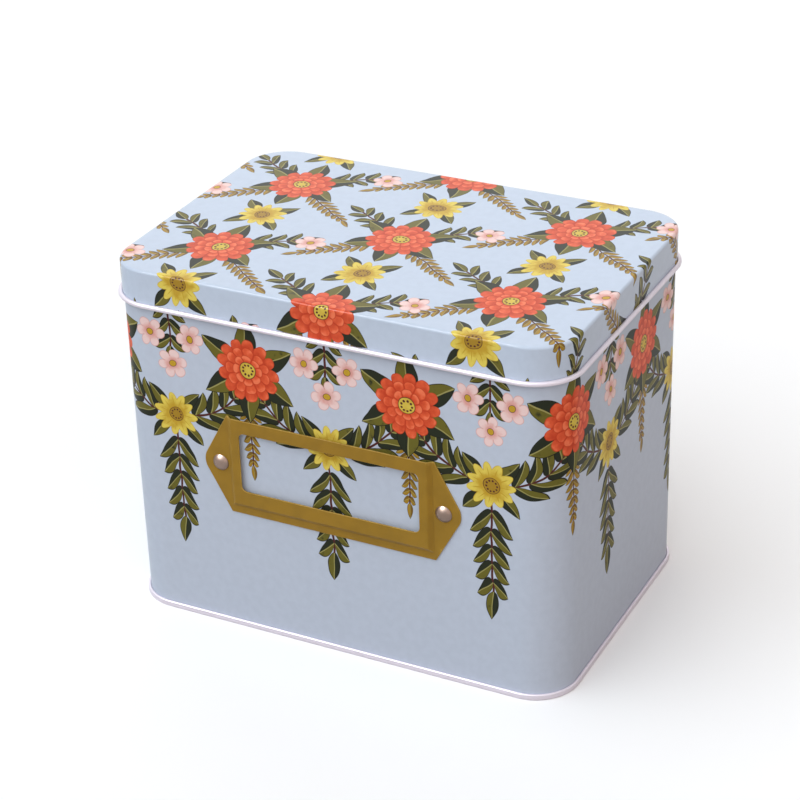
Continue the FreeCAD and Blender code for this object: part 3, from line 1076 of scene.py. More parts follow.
@dataclass(frozen=True, kw_only=True)
class Finish:
    """A finish: a Principled material with grain, smudges, wear with a painted highlight on outer
    edges, and dirt with painted shade in inner corners.
    """

    name: str
    low: float
    high: float
    metallic: float = 0.0
    specular: float = 0.5
    fine_scale: float = 900.0
    broad_scale: float = 18.0
    stretch: Place = (1.0, 1.0, 1.0)
    bump: float = 0.00014
    # The first colour below is wear with a painted highlight on outer edges; the second is dirt with
    # painted shade in inner corners.
    wear_and_highlight: Srgb | None = None
    dirt_and_shade_colour: Srgb | None = None
    dirt_and_shade_strength: float = 0.7
    edge_mark_scale: float = 300.0
    wear_and_highlight_reach: float = 0.5

    def make(self, effects: Effects) -> bpy.types.Material:
        """Build the material.

        Args:
            effects: The shared surface effects.

        Returns:
            The material.
        """
        material = bpy.data.materials.new(self.name)
        material.use_nodes = True
        graph = Graph(material.node_tree)
        shader = material.node_tree.nodes["Principled BSDF"]
        shader.inputs["Metallic"].default_value = self.metallic
        shader.inputs["Specular IOR Level"].default_value = self.specular
        place = graph.take(graph.add("ShaderNodeTexCoord"), "Object")
        feeds = {"Vector": place, "Scale": self.stretch}
        place = graph.take(graph.add("ShaderNodeMapping", feeds))
        feeds = {
            "Vector": place,
            "Fine Scale": self.fine_scale,
            "Broad Scale": self.broad_scale,
            "Low": self.low,
            "High": self.high,
        }
        uneven = graph.use(effects.unevenness, feeds)
        graph.feed(shader.inputs["Roughness"], uneven["Roughness"])
        feeds = {"Strength": 1.0, "Distance": self.bump, "Height": uneven["Height"]}
        graph.feed(shader.inputs["Normal"], graph.take(graph.add("ShaderNodeBump", feeds)))
        colour = self.marked(graph, effects, place, self.colour_field(graph, place))
        graph.feed(shader.inputs["Base Color"], colour)
        return material

    def colour_field(self, graph: Graph, place: Field) -> Field:
        """The colour without its marks.

        Args:
            graph: The material's graph.
            place: The object coordinates, drawn out along the grain.

        Returns:
            The colour.
        """
        raise NotImplementedError

    def marked(self, graph: Graph, effects: Effects, place: Field, colour: Field) -> Field:
        """Lay dirt with painted shade in inner corners, and wear with a painted highlight on outer
        edges, over the colour.

        Args:
            graph: The material's graph.
            effects: The shared surface effects.
            place: The object coordinates, drawn out along the grain.
            colour: The base colour.

        Returns:
            The colour with its marks.
        """
        if not (self.dirt_and_shade_colour or self.wear_and_highlight):
            return colour
        edge = graph.take(graph.add("ShaderNodeAttribute", attribute_name=EDGE_LAYER), "Fac")
        feeds = {"Vector": place, "Edge": edge, "Scale": self.edge_mark_scale, "Reach": self.wear_and_highlight_reach}
        marks = graph.use(effects.edges, feeds)
        # Dirt and painted shade darken inner corners.
        if self.dirt_and_shade_colour:
            colour = graph.mix(colour, self.dirt_and_shade_colour, marks["DirtAndShade"] * self.dirt_and_shade_strength)
        # Wear and a painted highlight lighten outer edges.
        if self.wear_and_highlight:
            colour = graph.mix(colour, self.wear_and_highlight, marks["WearAndHighlight"])
        return colour


@dataclass(frozen=True, kw_only=True)
class PlainFinish(Finish):
    """A finish of one colour, slightly mottled."""

    colour: Srgb
    mottle: float = 0.06
    mottle_fineness: float = 5.0
    mottle_detail: float = 4.0
    mottle_span: Span = (0.35, 0.65)

    def colour_field(self, graph: Graph, place: Field) -> Field:
        """The mottled colour.

        Args:
            graph: The material's graph.
            place: The object coordinates, drawn out along the grain.

        Returns:
            The colour.
        """
        darker = tuple(round(level * (1 - self.mottle)) for level in self.colour)
        noise = graph.noise(place, self.broad_scale * self.mottle_fineness, self.mottle_detail)
        return graph.mix(darker, self.colour, graph.ramp(graph.take(noise), *self.mottle_span))


@dataclass(frozen=True, kw_only=True)
class PrintedFinish(Finish):
    """Gloss varnish over a printed design, read from the piece's unrolled sheet."""

    design: NodeGroup

    def colour_field(self, graph: Graph, place: Field) -> Field:
        """The printed colour."""
        sheet = graph.take(graph.add("ShaderNodeUVMap", uv_map=SHEET_MAP))
        return graph.use(self.design, {"Vector": sheet})["Color"]


class Finishes:
    """Every material of the tin."""

    def __init__(self, girth: float) -> None:
        """Build the shared effects and every material once.

        Args:
            girth: The length of the wall that the body's print runs round, in millimetres.
        """
        effects = Effects()
        motifs = Motifs()
        self.body_print = PrintedFinish(
            name="Body print",
            design=FestoonPrint(motifs=motifs, girth=girth).build(),
            low=0.3,
            high=0.38,
            specular=0.05,
        ).make(effects)
        self.lid_print = PrintedFinish(
            name="Lid print",
            design=HalfDropPrint(motifs=motifs).build(),
            low=0.16,
            high=0.22,
            specular=0.09,
        ).make(effects)
        self.seam = PlainFinish(
            name="Seam lacquer",
            colour=(229, 221, 231),
            low=0.32,
            high=0.42,
            metallic=0.2,
            specular=0.3,
            mottle=0.015,
        ).make(effects)
        self.inside = PlainFinish(
            name="Bare tinplate",
            colour=(205, 204, 200),
            low=0.26,
            high=0.4,
            metallic=1.0,
            fine_scale=1400.0,
            broad_scale=60.0,
            stretch=(0.05, 1.0, 1.0),
            # Darker grey in inner corners: dirt and painted shade.
            dirt_and_shade_colour=(140, 138, 132),
        ).make(effects)
        self.steel = PlainFinish(
            name="Bare steel",
            colour=(152, 152, 150),
            low=0.26,
            high=0.4,
            metallic=1.0,
            fine_scale=1600.0,
            broad_scale=60.0,
            stretch=(0.1, 1.0, 1.0),
            # Paler steel on outer edges is wear and a painted highlight; darker steel in inner
            # corners is dirt and painted shade.
            wear_and_highlight=(214, 214, 214),
            dirt_and_shade_colour=(120, 116, 110),
        ).make(effects)
        self.gold = PlainFinish(
            name="Gold lacquer",
            colour=(155, 118, 28),
            low=0.42,
            high=0.52,
            specular=0.25,
            fine_scale=1500.0,
            broad_scale=30.0,
            # Lighter gold on outer edges is wear and a painted highlight; dark brown in inner
            # corners is dirt and painted shade.
            wear_and_highlight=(178, 144, 66),
            dirt_and_shade_colour=(98, 70, 24),
            wear_and_highlight_reach=0.55,
        ).make(effects)
        self.nickel = PlainFinish(
            name="Bright nickel",
            # Nickel's own grey, darkened and warmed as a painted reflection of the gold frame and of
            # dark surroundings.
            colour=(138, 119, 109),
            low=0.3,
            high=0.4,
            metallic=1.0,
            # Darker in the rivet's inner corners: dirt and painted shade.
            dirt_and_shade_colour=(94, 82, 76),
        ).make(effects)


def edges_of(geometry: Iterable[BMVert | BMEdge | BMFace]) -> list[BMEdge]:
    """The edges among some geometry."""
    return [item for item in geometry if isinstance(item, BMEdge)]


def verts_of(geometry: Iterable[BMVert | BMEdge | BMFace]) -> list[BMVert]:
    """The vertices among some geometry."""
    return [item for item in geometry if isinstance(item, BMVert)]


def sharp_edges(bm: BMesh, degrees: float) -> list[BMEdge]:
    """The edges at which two faces turn by more than an angle."""
    return [edge for edge in bm.edges if edge.calc_face_angle(0.0) > math.radians(degrees)]


def bevel(
    bm: BMesh,
    geometry: Iterable[BMVert | BMEdge],
    offset: float,
    segments: int,
    rounded: Rounded = Rounded.EDGES,
) -> None:
    """Round edges or corners.

    Args:
        bm: The mesh.
        geometry: What is rounded.
        offset: How far from it the rounding starts.
        segments: How many faces stand for the round.
        rounded: Whether the geometry is edges or corners.
    """
    bmesh.ops.bevel(
        bm,
        geom=list(geometry),
        offset=offset,
        affect=rounded.value,
        segments=segments,
        profile=0.5,
        material=-1,
    )


def block(bm: BMesh, size: Place, middle: Place) -> list[BMVert]:
    """Add a block to a mesh.

    Args:
        bm: The mesh.
        size: The block's width, depth and height.
        middle: Where its middle lies.

    Returns:
        Its corners.
    """
    made = bmesh.ops.create_cube(bm, size=1.0)["verts"]
    bmesh.ops.scale(bm, verts=made, vec=size)
    bmesh.ops.translate(bm, verts=made, vec=middle)
    return made


def weld(bm: BMesh) -> None:
    """Merge the seams of a swept mesh and turn its faces outwards."""
    bmesh.ops.remove_doubles(bm, verts=bm.verts, dist=WELD)
    bmesh.ops.recalc_face_normals(bm, faces=bm.faces)


def close_rim(bm: BMesh, z: float, skin: Skin) -> None:
    """Fill the open rim that lies at a height.

    Args:
        bm: The mesh.
        z: The rim's height.
        skin: The new face's material.
    """
    rim = [
        edge for edge in bm.edges
        if edge.is_boundary and all(abs(vert.co.z - z) < ON_LEVEL for vert in edge.verts)
    ]
    for face in bmesh.ops.holes_fill(bm, edges=rim, sides=0)["faces"]:
        face.material_index = skin


def mark_edges(bm: BMesh, full_degrees: float = 40.0, narrow: float = 0.6) -> None:
    """Write how sharply the surface turns at the corners of narrow faces, for wear with a painted
    highlight on outer edges and dirt with painted shade in inner corners.

    Args:
        bm: The finished mesh.
        full_degrees: The angle between two faces that counts as 1, or as -1 in an inner corner.
        narrow: The widest face that is part of an edge; wider ones are flats and stay at 0.
    """
    layer = bm.loops.layers.float.new(EDGE_LAYER)
    full = math.radians(full_degrees)
    for face in bm.faces:
        if face.calc_area() > narrow * max(edge.calc_length() for edge in face.edges):
            continue
        for loop in face.loops:
            angles = [edge.calc_face_angle_signed(0.0) for edge in loop.vert.link_edges]
            sharpest = max(angles, key=abs, default=0.0)
            loop[layer] = max(-1.0, min(1.0, sharpest / full))


def new_object(name: str, bm: BMesh) -> bpy.types.Object:
    """Turn a finished mesh into an object in metres, at the origin.

    Args:
        name: The object's name.
        bm: Its mesh in millimetres, which is freed.

    Returns:
        The object.
    """
    for vert in bm.verts:
        vert.co /= MM_PER_METRE
    mesh = bpy.data.meshes.new(name)
    bm.to_mesh(mesh)
    bm.free()
    made = bpy.data.objects.new(name, mesh)
    bpy.context.scene.collection.objects.link(made)
    return made


def new_piece(
    name: str,
    bm: BMesh,
    materials: Sequence[bpy.types.Material],
    smooth_degrees: float = 35.0,
) -> bpy.types.Object:
    """Turn a finished mesh into a dressed piece.

    Args:
        name: The piece's name.
        bm: Its mesh in millimetres, which is freed.
        materials: Its materials, in the order of the faces' numbers.
        smooth_degrees: Edges that turn by more than this stay sharp.

    Returns:
        The piece.
    """
    mark_edges(bm)
    piece = new_object(name, bm)
    for material in materials:
        piece.data.materials.append(material)
    piece.data.shade_smooth()
    piece.data.set_sharp_from_angle(angle=math.radians(smooth_degrees))
    return piece


def settle(piece: bpy.types.Object, rider: Rider, slot: Slot, *nodes: str) -> None:
    """Ride a piece on its body and let it stand for its CAD nodes.

    Args:
        piece: The piece.
        rider: The body that it moves with.
        slot: The record's material slot. Not used.
        *nodes: The nodes that it replaces.
    """
    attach(piece, rider.value)
    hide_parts(*nodes)
    LOG.info("%s: %d faces on %s", piece.name, len(piece.data.polygons), rider.value)


@dataclass(frozen=True)
class RoundWall:
    """The rounded rectangle that the tin's sections run round, on the outside of the wall."""

    half_width: float = 80.0
    half_depth: float = 54.25
    corner: float = 14.5
    corner_steps: int = 20

    @property
    def run_x(self) -> float:
        """Half the straight stretch of the front and the back."""
        return self.half_width - self.corner

    @property
    def run_y(self) -> float:
        """Half the straight stretch of the sides."""
        return self.half_depth - self.corner

    @property
    def girth(self) -> float:
        """The length of the wall all round."""
        return 4 * (self.run_x + self.run_y) + 2 * math.pi * self.corner

    def sweep(self, bm: BMesh, section: "Section", skin: Skin) -> None:
        """Carry a section, drawn at the middle of the front, once round the wall.

        Args:
            bm: The mesh.
            section: The section.
            skin: The swept faces' material.
        """
        known = set(bm.faces)
        edges = section.edges
        x, y = self.run_x, self.run_y
        legs = (
            ((x, 0, 0), (x, -y, 0)),
            ((0, 2 * y, 0), (x, y, 0)),
            ((-2 * x, 0, 0), (-x, y, 0)),
            ((0, -2 * y, 0), (-x, -y, 0)),
        )
        for run, centre in legs:
            edges = self.draw_out(bm, edges, run)
            made = bmesh.ops.spin(
                bm,
                geom=edges,
                cent=centre,
                axis=(0, 0, 1),
                angle=math.pi / 2,
                steps=self.corner_steps,
            )
            edges = edges_of(made["geom_last"])
        self.draw_out(bm, edges, (x, 0, 0))
        for face in bm.faces:
            if face not in known:
                face.material_index = skin

    @staticmethod
    def draw_out(bm: BMesh, edges: Sequence[BMEdge], run: Place) -> list[BMEdge]:
        """Draw edges out into a straight stretch of sheet.

        Args:
            bm: The mesh.
            edges: The edges.
            run: How far and which way they go.

        Returns:
            The edges at the end of the stretch.
        """
        made = bmesh.ops.extrude_edge_only(bm, edges=edges)["geom"]
        bmesh.ops.translate(bm, verts=verts_of(made), vec=run)
        return edges_of(made)

    def nearest_core(self, x: float, y: float) -> Point:
        """The point of the rectangle between the corner centres that is nearest to a place."""
        return max(-self.run_x, min(self.run_x, x)), max(-self.run_y, min(self.run_y, y))

    def unrolled(self, x: float, y: float, right: bool) -> float:
        """Distance round the wall from the middle of the front.

        Args:
            x: Place to the right.
            y: Place towards the back.
            right: Whether the place belongs to the right half of the tin.

        Returns:
            The distance, below zero on the left half.
        """
        side = abs(x)
        core_x, core_y = self.nearest_core(side, y)
        turn = math.atan2(side - core_x, core_y - y) if (side, y) != (core_x, core_y) else 0.0
        walked = turn * self.corner + (core_y + self.run_y)
        walked += core_x if y < 0 or turn < math.pi / 2 - SAME_TURN else 2 * self.run_x - core_x
        return walked if right else -walked


class Section:
    """A section line, drawn point by point in the plane x = 0 at the front of the tin."""

    def __init__(self, bm: BMesh, wall: RoundWall, offset: float, z: float) -> None:
        """Start a line.

        Args:
            bm: The mesh to draw in.
            wall: The wall that offsets run outwards from.
            offset: The first point's distance outside the wall.
            z: Its height.
        """
        self.bm = bm
        self.wall = wall
        self.tip = bm.verts.new(self.place(offset, z))
        self.edges: list[BMEdge] = []

    def place(self, offset: float, z: float) -> Place:
        """A point of the section in the tin's frame."""
        return 0.0, -self.wall.half_depth - offset, z

    def line_to(self, offset: float, z: float) -> "Section":
        """Draw a straight stretch.

        Args:
            offset: The next point's distance outside the wall.
            z: Its height.

        Returns:
            This line.
        """
        made = bmesh.ops.extrude_vert_indiv(self.bm, verts=[self.tip])
        self.tip = made["verts"][0]
        self.tip.co = self.place(offset, z)
        self.edges += made["edges"]
        return self

    def turn(self, offset: float, z: float, degrees: float, steps: int) -> "Section":
        """Draw an arc.

        Args:
            offset: The centre's distance outside the wall.
            z: The centre's height.
            degrees: How far to turn, above zero from outwards to upwards.
            steps: How many straight steps stand for the arc.

        Returns:
            This line.
        """
        known = set(self.bm.edges)
        made = bmesh.ops.spin(
            self.bm,
            geom=[self.tip],
            cent=self.place(offset, z),
            axis=(1, 0, 0),
            angle=-math.radians(degrees),
            steps=steps,
        )
        self.tip = verts_of(made["geom_last"])[0]
        self.edges += [edge for edge in self.bm.edges if edge not in known]
        return self


@dataclass(frozen=True)
class TinSizes:
    """Sizes that several pieces share, in millimetres. Offsets run outwards from the wall."""

    sheet: float = 0.3
    closed_height: float = 127.5
    skirt_depth: float = 12.1
    lid_clearance: float = 0.25
    wire_radius: float = 0.5
    wire_play: float = 0.05
    strap_sheet: float = 0.4
    strap_half_width: float = 6.0
    strap_place: float = 41.5
    notch_clearance: float = 0.4

    @property
    def eye_radius(self) -> float:
        """Radius of the bore that the wire lies in."""
        return self.wire_radius + self.wire_play

    @property
    def bead_radius(self) -> float:
        """Radius of the outside of the lid's bead."""
        return self.eye_radius + self.sheet

    @property
    def bead(self) -> Point:
        """Offset and height of the middle of the lid's bead."""
        return self.lid_clearance + self.bead_radius, self.closed_height - self.skirt_depth

    @property
    def skirt_outside(self) -> float:
        """Offset of the outside of the lid's skirt."""
        return self.lid_clearance + self.sheet

    @property
    def hook_radius(self) -> float:
        """Radius of the outside of a strap's hook."""
        return self.eye_radius + self.strap_sheet

    @property
    def notch_rise(self) -> float:
        """Height of a notch above the middle of the bead."""
        return self.hook_radius + self.notch_clearance


@dataclass
class SubAssembly:
    """Pieces that are made together, with sizes in millimetres."""

    finishes: Finishes
    wall: RoundWall
    sizes: TinSizes

    def build(self) -> None:
        """Make every piece."""
        raise NotImplementedError


@dataclass
class Body(SubAssembly):
    """The body: a printed wall with a curled rim, and the seamed base pan."""

    wall_foot: float = 1.0
    neck_inset: float = 0.6
    neck_rise: float = 0.5
    neck_height: float = 1.2
    neck_steps: int = 8
    rim_radius: float = 1.0
    rim_headroom: float = 0.25
    rim_sweep: float = 290.0
    rim_steps: int = 22
    seam_slack: float = 0.05
    seam_height: float = 2.1
    seam_round: float = 0.42
    seam_steps: int = 6
    panel_recess: float = 2.4
    panel_lap: float = 3.0
    panel_steps: int = 5
    fold_half_width: float = 2.5
    fold_depth: float = 0.5
    fold_margin: float = 3.0
    fold_round: float = 0.175
    fold_steps: int = 3
    groove_depth: float = 0.14
    groove_half_width: float = 0.22

    @property
    def neck_foot(self) -> float:
        """Height at which the neck starts to turn in."""
        return self.sizes.bead[1] + self.neck_rise

    @property
    def panel_top(self) -> float:
        """Height of the inside of the recessed panel."""
        return self.panel_recess + self.sizes.sheet

    def build(self) -> None:
        """Make the wall and the base pan."""
        self.build_shell()
        self.build_base()

    def build_shell(self) -> None:
        """Sweep the wall's section and unroll its print."""
        bm = bmesh.new()
        sheet, rim, sweep = self.sizes.sheet, self.rim_radius, self.rim_sweep
        rim_height = self.sizes.closed_height - sheet - self.rim_headroom - rim
        centre = (-self.neck_inset - rim, rim_height)
        outside = Section(bm, self.wall, 0.0, self.wall_foot)
        self.draw_neck(outside, 0.0)
        outside.line_to(-self.neck_inset, rim_height).turn(*centre, sweep, self.rim_steps)
        inside = Section(bm, self.wall, *on_circle(centre, rim, sweep))
        inside.line_to(*on_circle(centre, rim - sheet, sweep))
        inside.turn(*centre, -sweep, self.rim_steps)
        self.draw_neck(inside, sheet, down=True)
        inside.line_to(-sheet, self.wall_foot).line_to(0.0, self.wall_foot)
        self.wall.sweep(bm, outside, Skin.OUTSIDE)
        self.wall.sweep(bm, inside, Skin.INSIDE)
        weld(bm)
        self.press_side_seam(bm)
        self.fold_side_seam(bm)
        self.unroll(bm)
        piece = new_piece("body_wall", bm, [self.finishes.body_print, self.finishes.inside])
        settle(piece, Rider.BOX, Slot.PRINTED, "body_shell")

    def draw_neck(self, section: Section, inset: float, down: bool = False) -> None:
        """Draw the soft step of the neck that the lid slips over.

        Args:
            section: The line that is drawn on.
            inset: How far inside the outer face the line runs.
            down: Whether the line comes from above.
        """
        for step in sorted(range(self.neck_steps + 1), reverse=down):
            share = step / self.neck_steps
            offset = -inset - self.neck_inset * smoothstep(share)
            section.line_to(offset, self.neck_foot + self.neck_height * share)

    def press_side_seam(self, bm: BMesh) -> None:
        """Part the back wall at its middle and press the side seam's fine line into its outside.

        Args:
            bm: The wall's mesh.
        """
        line, half = self.fold_half_width, self.groove_half_width
        for place in (0.0, line - half, line, line + half):
            back = [face for face in bm.faces if face.calc_center_median().y > self.wall.run_y]
            edges = dict.fromkeys(edge for face in back for edge in face.edges)
            verts = dict.fromkeys(vert for face in back for vert in face.verts)
            bmesh.ops.bisect_plane(
                bm,
                geom=[*back, *edges, *verts],
                plane_co=(place, 0, 0),
                plane_no=(1, 0, 0),
                dist=ON_LEVEL,
            )
        groove = [
            vert for vert in bm.verts
            if abs(vert.co.x - line) < WELD and abs(vert.co.y - self.wall.half_depth) < WELD
        ]
        bmesh.ops.translate(bm, verts=groove, vec=(0, -self.groove_depth, 0))

    def fold_side_seam(self, bm: BMesh) -> None:
        """Add the flat fold of the side seam to the inside of the back wall.

        Args:
            bm: The wall's mesh.
        """
        bottom = self.panel_top + self.fold_margin
        top = self.neck_foot - self.fold_margin
        wall_inside = self.wall.half_depth - self.sizes.sheet
        size = (2 * self.fold_half_width, self.fold_depth, top - bottom)
        middle = (0, wall_inside - self.fold_depth / 2, (bottom + top) / 2)
        made = block(bm, size, middle)
        for face in {face for vert in made for face in vert.link_faces}:
            face.material_index = Skin.INSIDE
        edges = dict.fromkeys(edge for vert in made for edge in vert.link_edges)
        bevel(bm, edges, self.fold_round, self.fold_steps)

    def unroll(self, bm: BMesh) -> None:
        """Write each corner's place on the flat sheet.

        Args:
            bm: The wall's mesh.
        """
        layer = bm.loops.layers.uv.new(SHEET_MAP)
        for face in bm.faces:
            right = face.calc_center_median().x > 0
            for loop in face.loops:
                x, y, z = loop.vert.co
                loop[layer].uv = self.wall.unrolled(x, y, right), z

    def build_base(self) -> None:
        """Sweep the double seam and close the recessed panel."""
        bm = bmesh.new()
        sheet, slack, bend = self.sizes.sheet, self.seam_slack, self.seam_round
        inner, outer = -2 * sheet - slack, 3 * (sheet + slack)
        under, over, top = self.panel_recess, self.panel_top, self.seam_height
        lip, lip_foot = -sheet - slack, self.wall_foot - slack
        reach = inner - self.panel_lap
        steps = self.seam_steps
        skin = Section(bm, self.wall, reach, under).line_to(inner - bend, under)
        skin.turn(inner - bend, under - bend, -90, self.panel_steps).line_to(inner, bend)
        skin.turn(inner + bend, bend, 90, steps).line_to(outer - bend, 0.0)
        skin.turn(outer - bend, bend, 90, steps).line_to(outer, top - bend)
        skin.turn(outer - bend, top - bend, 90, steps).line_to(slack + bend, top)
        skin.turn(slack + bend, top - bend, 90, steps).line_to(slack, lip_foot)
        skin.line_to(lip, lip_foot).line_to(lip, over)
        inside = Section(bm, self.wall, lip, over).line_to(reach, over)
        self.wall.sweep(bm, skin, Skin.OUTSIDE)
        self.wall.sweep(bm, inside, Skin.INSIDE)
        weld(bm)
        close_rim(bm, under, Skin.OUTSIDE)
        close_rim(bm, over, Skin.INSIDE)
        bmesh.ops.recalc_face_normals(bm, faces=bm.faces)
        piece = new_piece("seamed_base", bm, [self.finishes.seam, self.finishes.inside])
        settle(piece, Rider.BOX, Slot.SEAM, "base_pan")


@dataclass
class Lid(SubAssembly):
    """The lid: a drawn shell with a rounded edge and a beaded skirt, notched for the straps."""

    edge_radius: float = 1.0
    edge_steps: int = 10
    flat_ring: float = 1.0
    lining_steps: int = 8
    bead_sweep: float = 300.0
    bead_steps: int = 18
    bore_steps: int = 24
    notch_side_gap: float = 0.6
    notch_depth: float = 8.0
    notch_offset: float = 1.5
    smooth_degrees: float = 35.0

    def build(self) -> None:
        """Sweep the lid's section, close its panel, cut its notches and unroll its print."""
        bm = bmesh.new()
        top, sheet, outside = self.sizes.closed_height, self.sizes.sheet, self.sizes.skirt_outside
        bead, foot = self.sizes.bead, self.sizes.bead[1]
        edge = (outside - self.edge_radius, top - self.edge_radius)
        start = edge[0] - self.flat_ring
        skin = Section(bm, self.wall, start, top).line_to(edge[0], top)
        skin.turn(*edge, -90, self.edge_steps).line_to(outside, foot)
        curl = Section(bm, self.wall, outside, foot)
        curl.turn(*bead, self.bead_sweep, self.bead_steps)
        curl.line_to(*on_circle(bead, self.sizes.bead_radius, 180 + self.bead_sweep))
        curl.turn(*bead, -self.bead_sweep, self.bore_steps)
        lining = Section(bm, self.wall, outside - sheet, foot).line_to(outside - sheet, edge[1])
        lining.turn(*edge, 90, self.lining_steps).line_to(start, top - sheet)
        self.wall.sweep(bm, skin, Skin.OUTSIDE)
        self.wall.sweep(bm, curl, Skin.BEAD)
        self.wall.sweep(bm, lining, Skin.INSIDE)
        weld(bm)
        close_rim(bm, top, Skin.OUTSIDE)
        close_rim(bm, top - sheet, Skin.INSIDE)
        bmesh.ops.recalc_face_normals(bm, faces=bm.faces)
        self.unroll(bm)
        materials = [self.finishes.lid_print, self.finishes.inside, self.finishes.seam]
        piece = new_piece("lid_cover", bm, materials, self.smooth_degrees)
        self.cut_notches(piece)
        settle(piece, Rider.LID, Slot.PRINTED, "lid_shell")

    def unroll(self, bm: BMesh) -> None:
        """Write each corner's place on the flat blank that the lid is drawn from.

        Args:
            bm: The lid's mesh.
        """
        layer = bm.loops.layers.uv.new(SHEET_MAP)
        radius = self.edge_radius
        for face in bm.faces:
            for loop in face.loops:
                x, y, z = loop.vert.co
                core = Vector(self.wall.nearest_core(x, y))
                out = Vector((x, y)) - core
                drop = max(0.0, self.sizes.closed_height - z)
                swing = math.acos(max(0.0, 1 - drop / radius))
                spare = radius * (swing - math.sin(swing)) + max(0.0, drop - radius)
                loop[layer].uv = core + out.normalized() * (out.length + spare)

    def cut_notches(self, piece: bpy.types.Object) -> None:
        """Cut the bead and the lower skirt away where the hinge straps pass.

        Args:
            piece: The lid, whose mesh is replaced.
        """
        bm = bmesh.new()
        height = self.sizes.bead[1]
        top = height + self.sizes.notch_rise
        low = height - 2 * self.sizes.bead_radius
        half_width = self.sizes.strap_half_width + self.notch_side_gap
        y = self.wall.half_depth + self.notch_offset
        for side in Side:
            middle = (side.value * self.sizes.strap_place, y, (top + low) / 2)
            block(bm, (2 * half_width, self.notch_depth, top - low), middle)
        cutter = new_object("notch_cutter", bm)
        cut = piece.modifiers.new("notches", "BOOLEAN")
        cut.operation = "DIFFERENCE"
        cut.solver = "EXACT"
        cut.object = cutter
        shape = piece.evaluated_get(bpy.context.evaluated_depsgraph_get())
        spent = [piece.data, cutter.data]
        piece.data = bpy.data.meshes.new_from_object(shape)
        piece.modifiers.clear()
        bpy.data.objects.remove(cutter)
        for mesh in spent:
            bpy.data.meshes.remove(mesh)
        piece.data.set_sharp_from_angle(angle=math.radians(self.smooth_degrees))


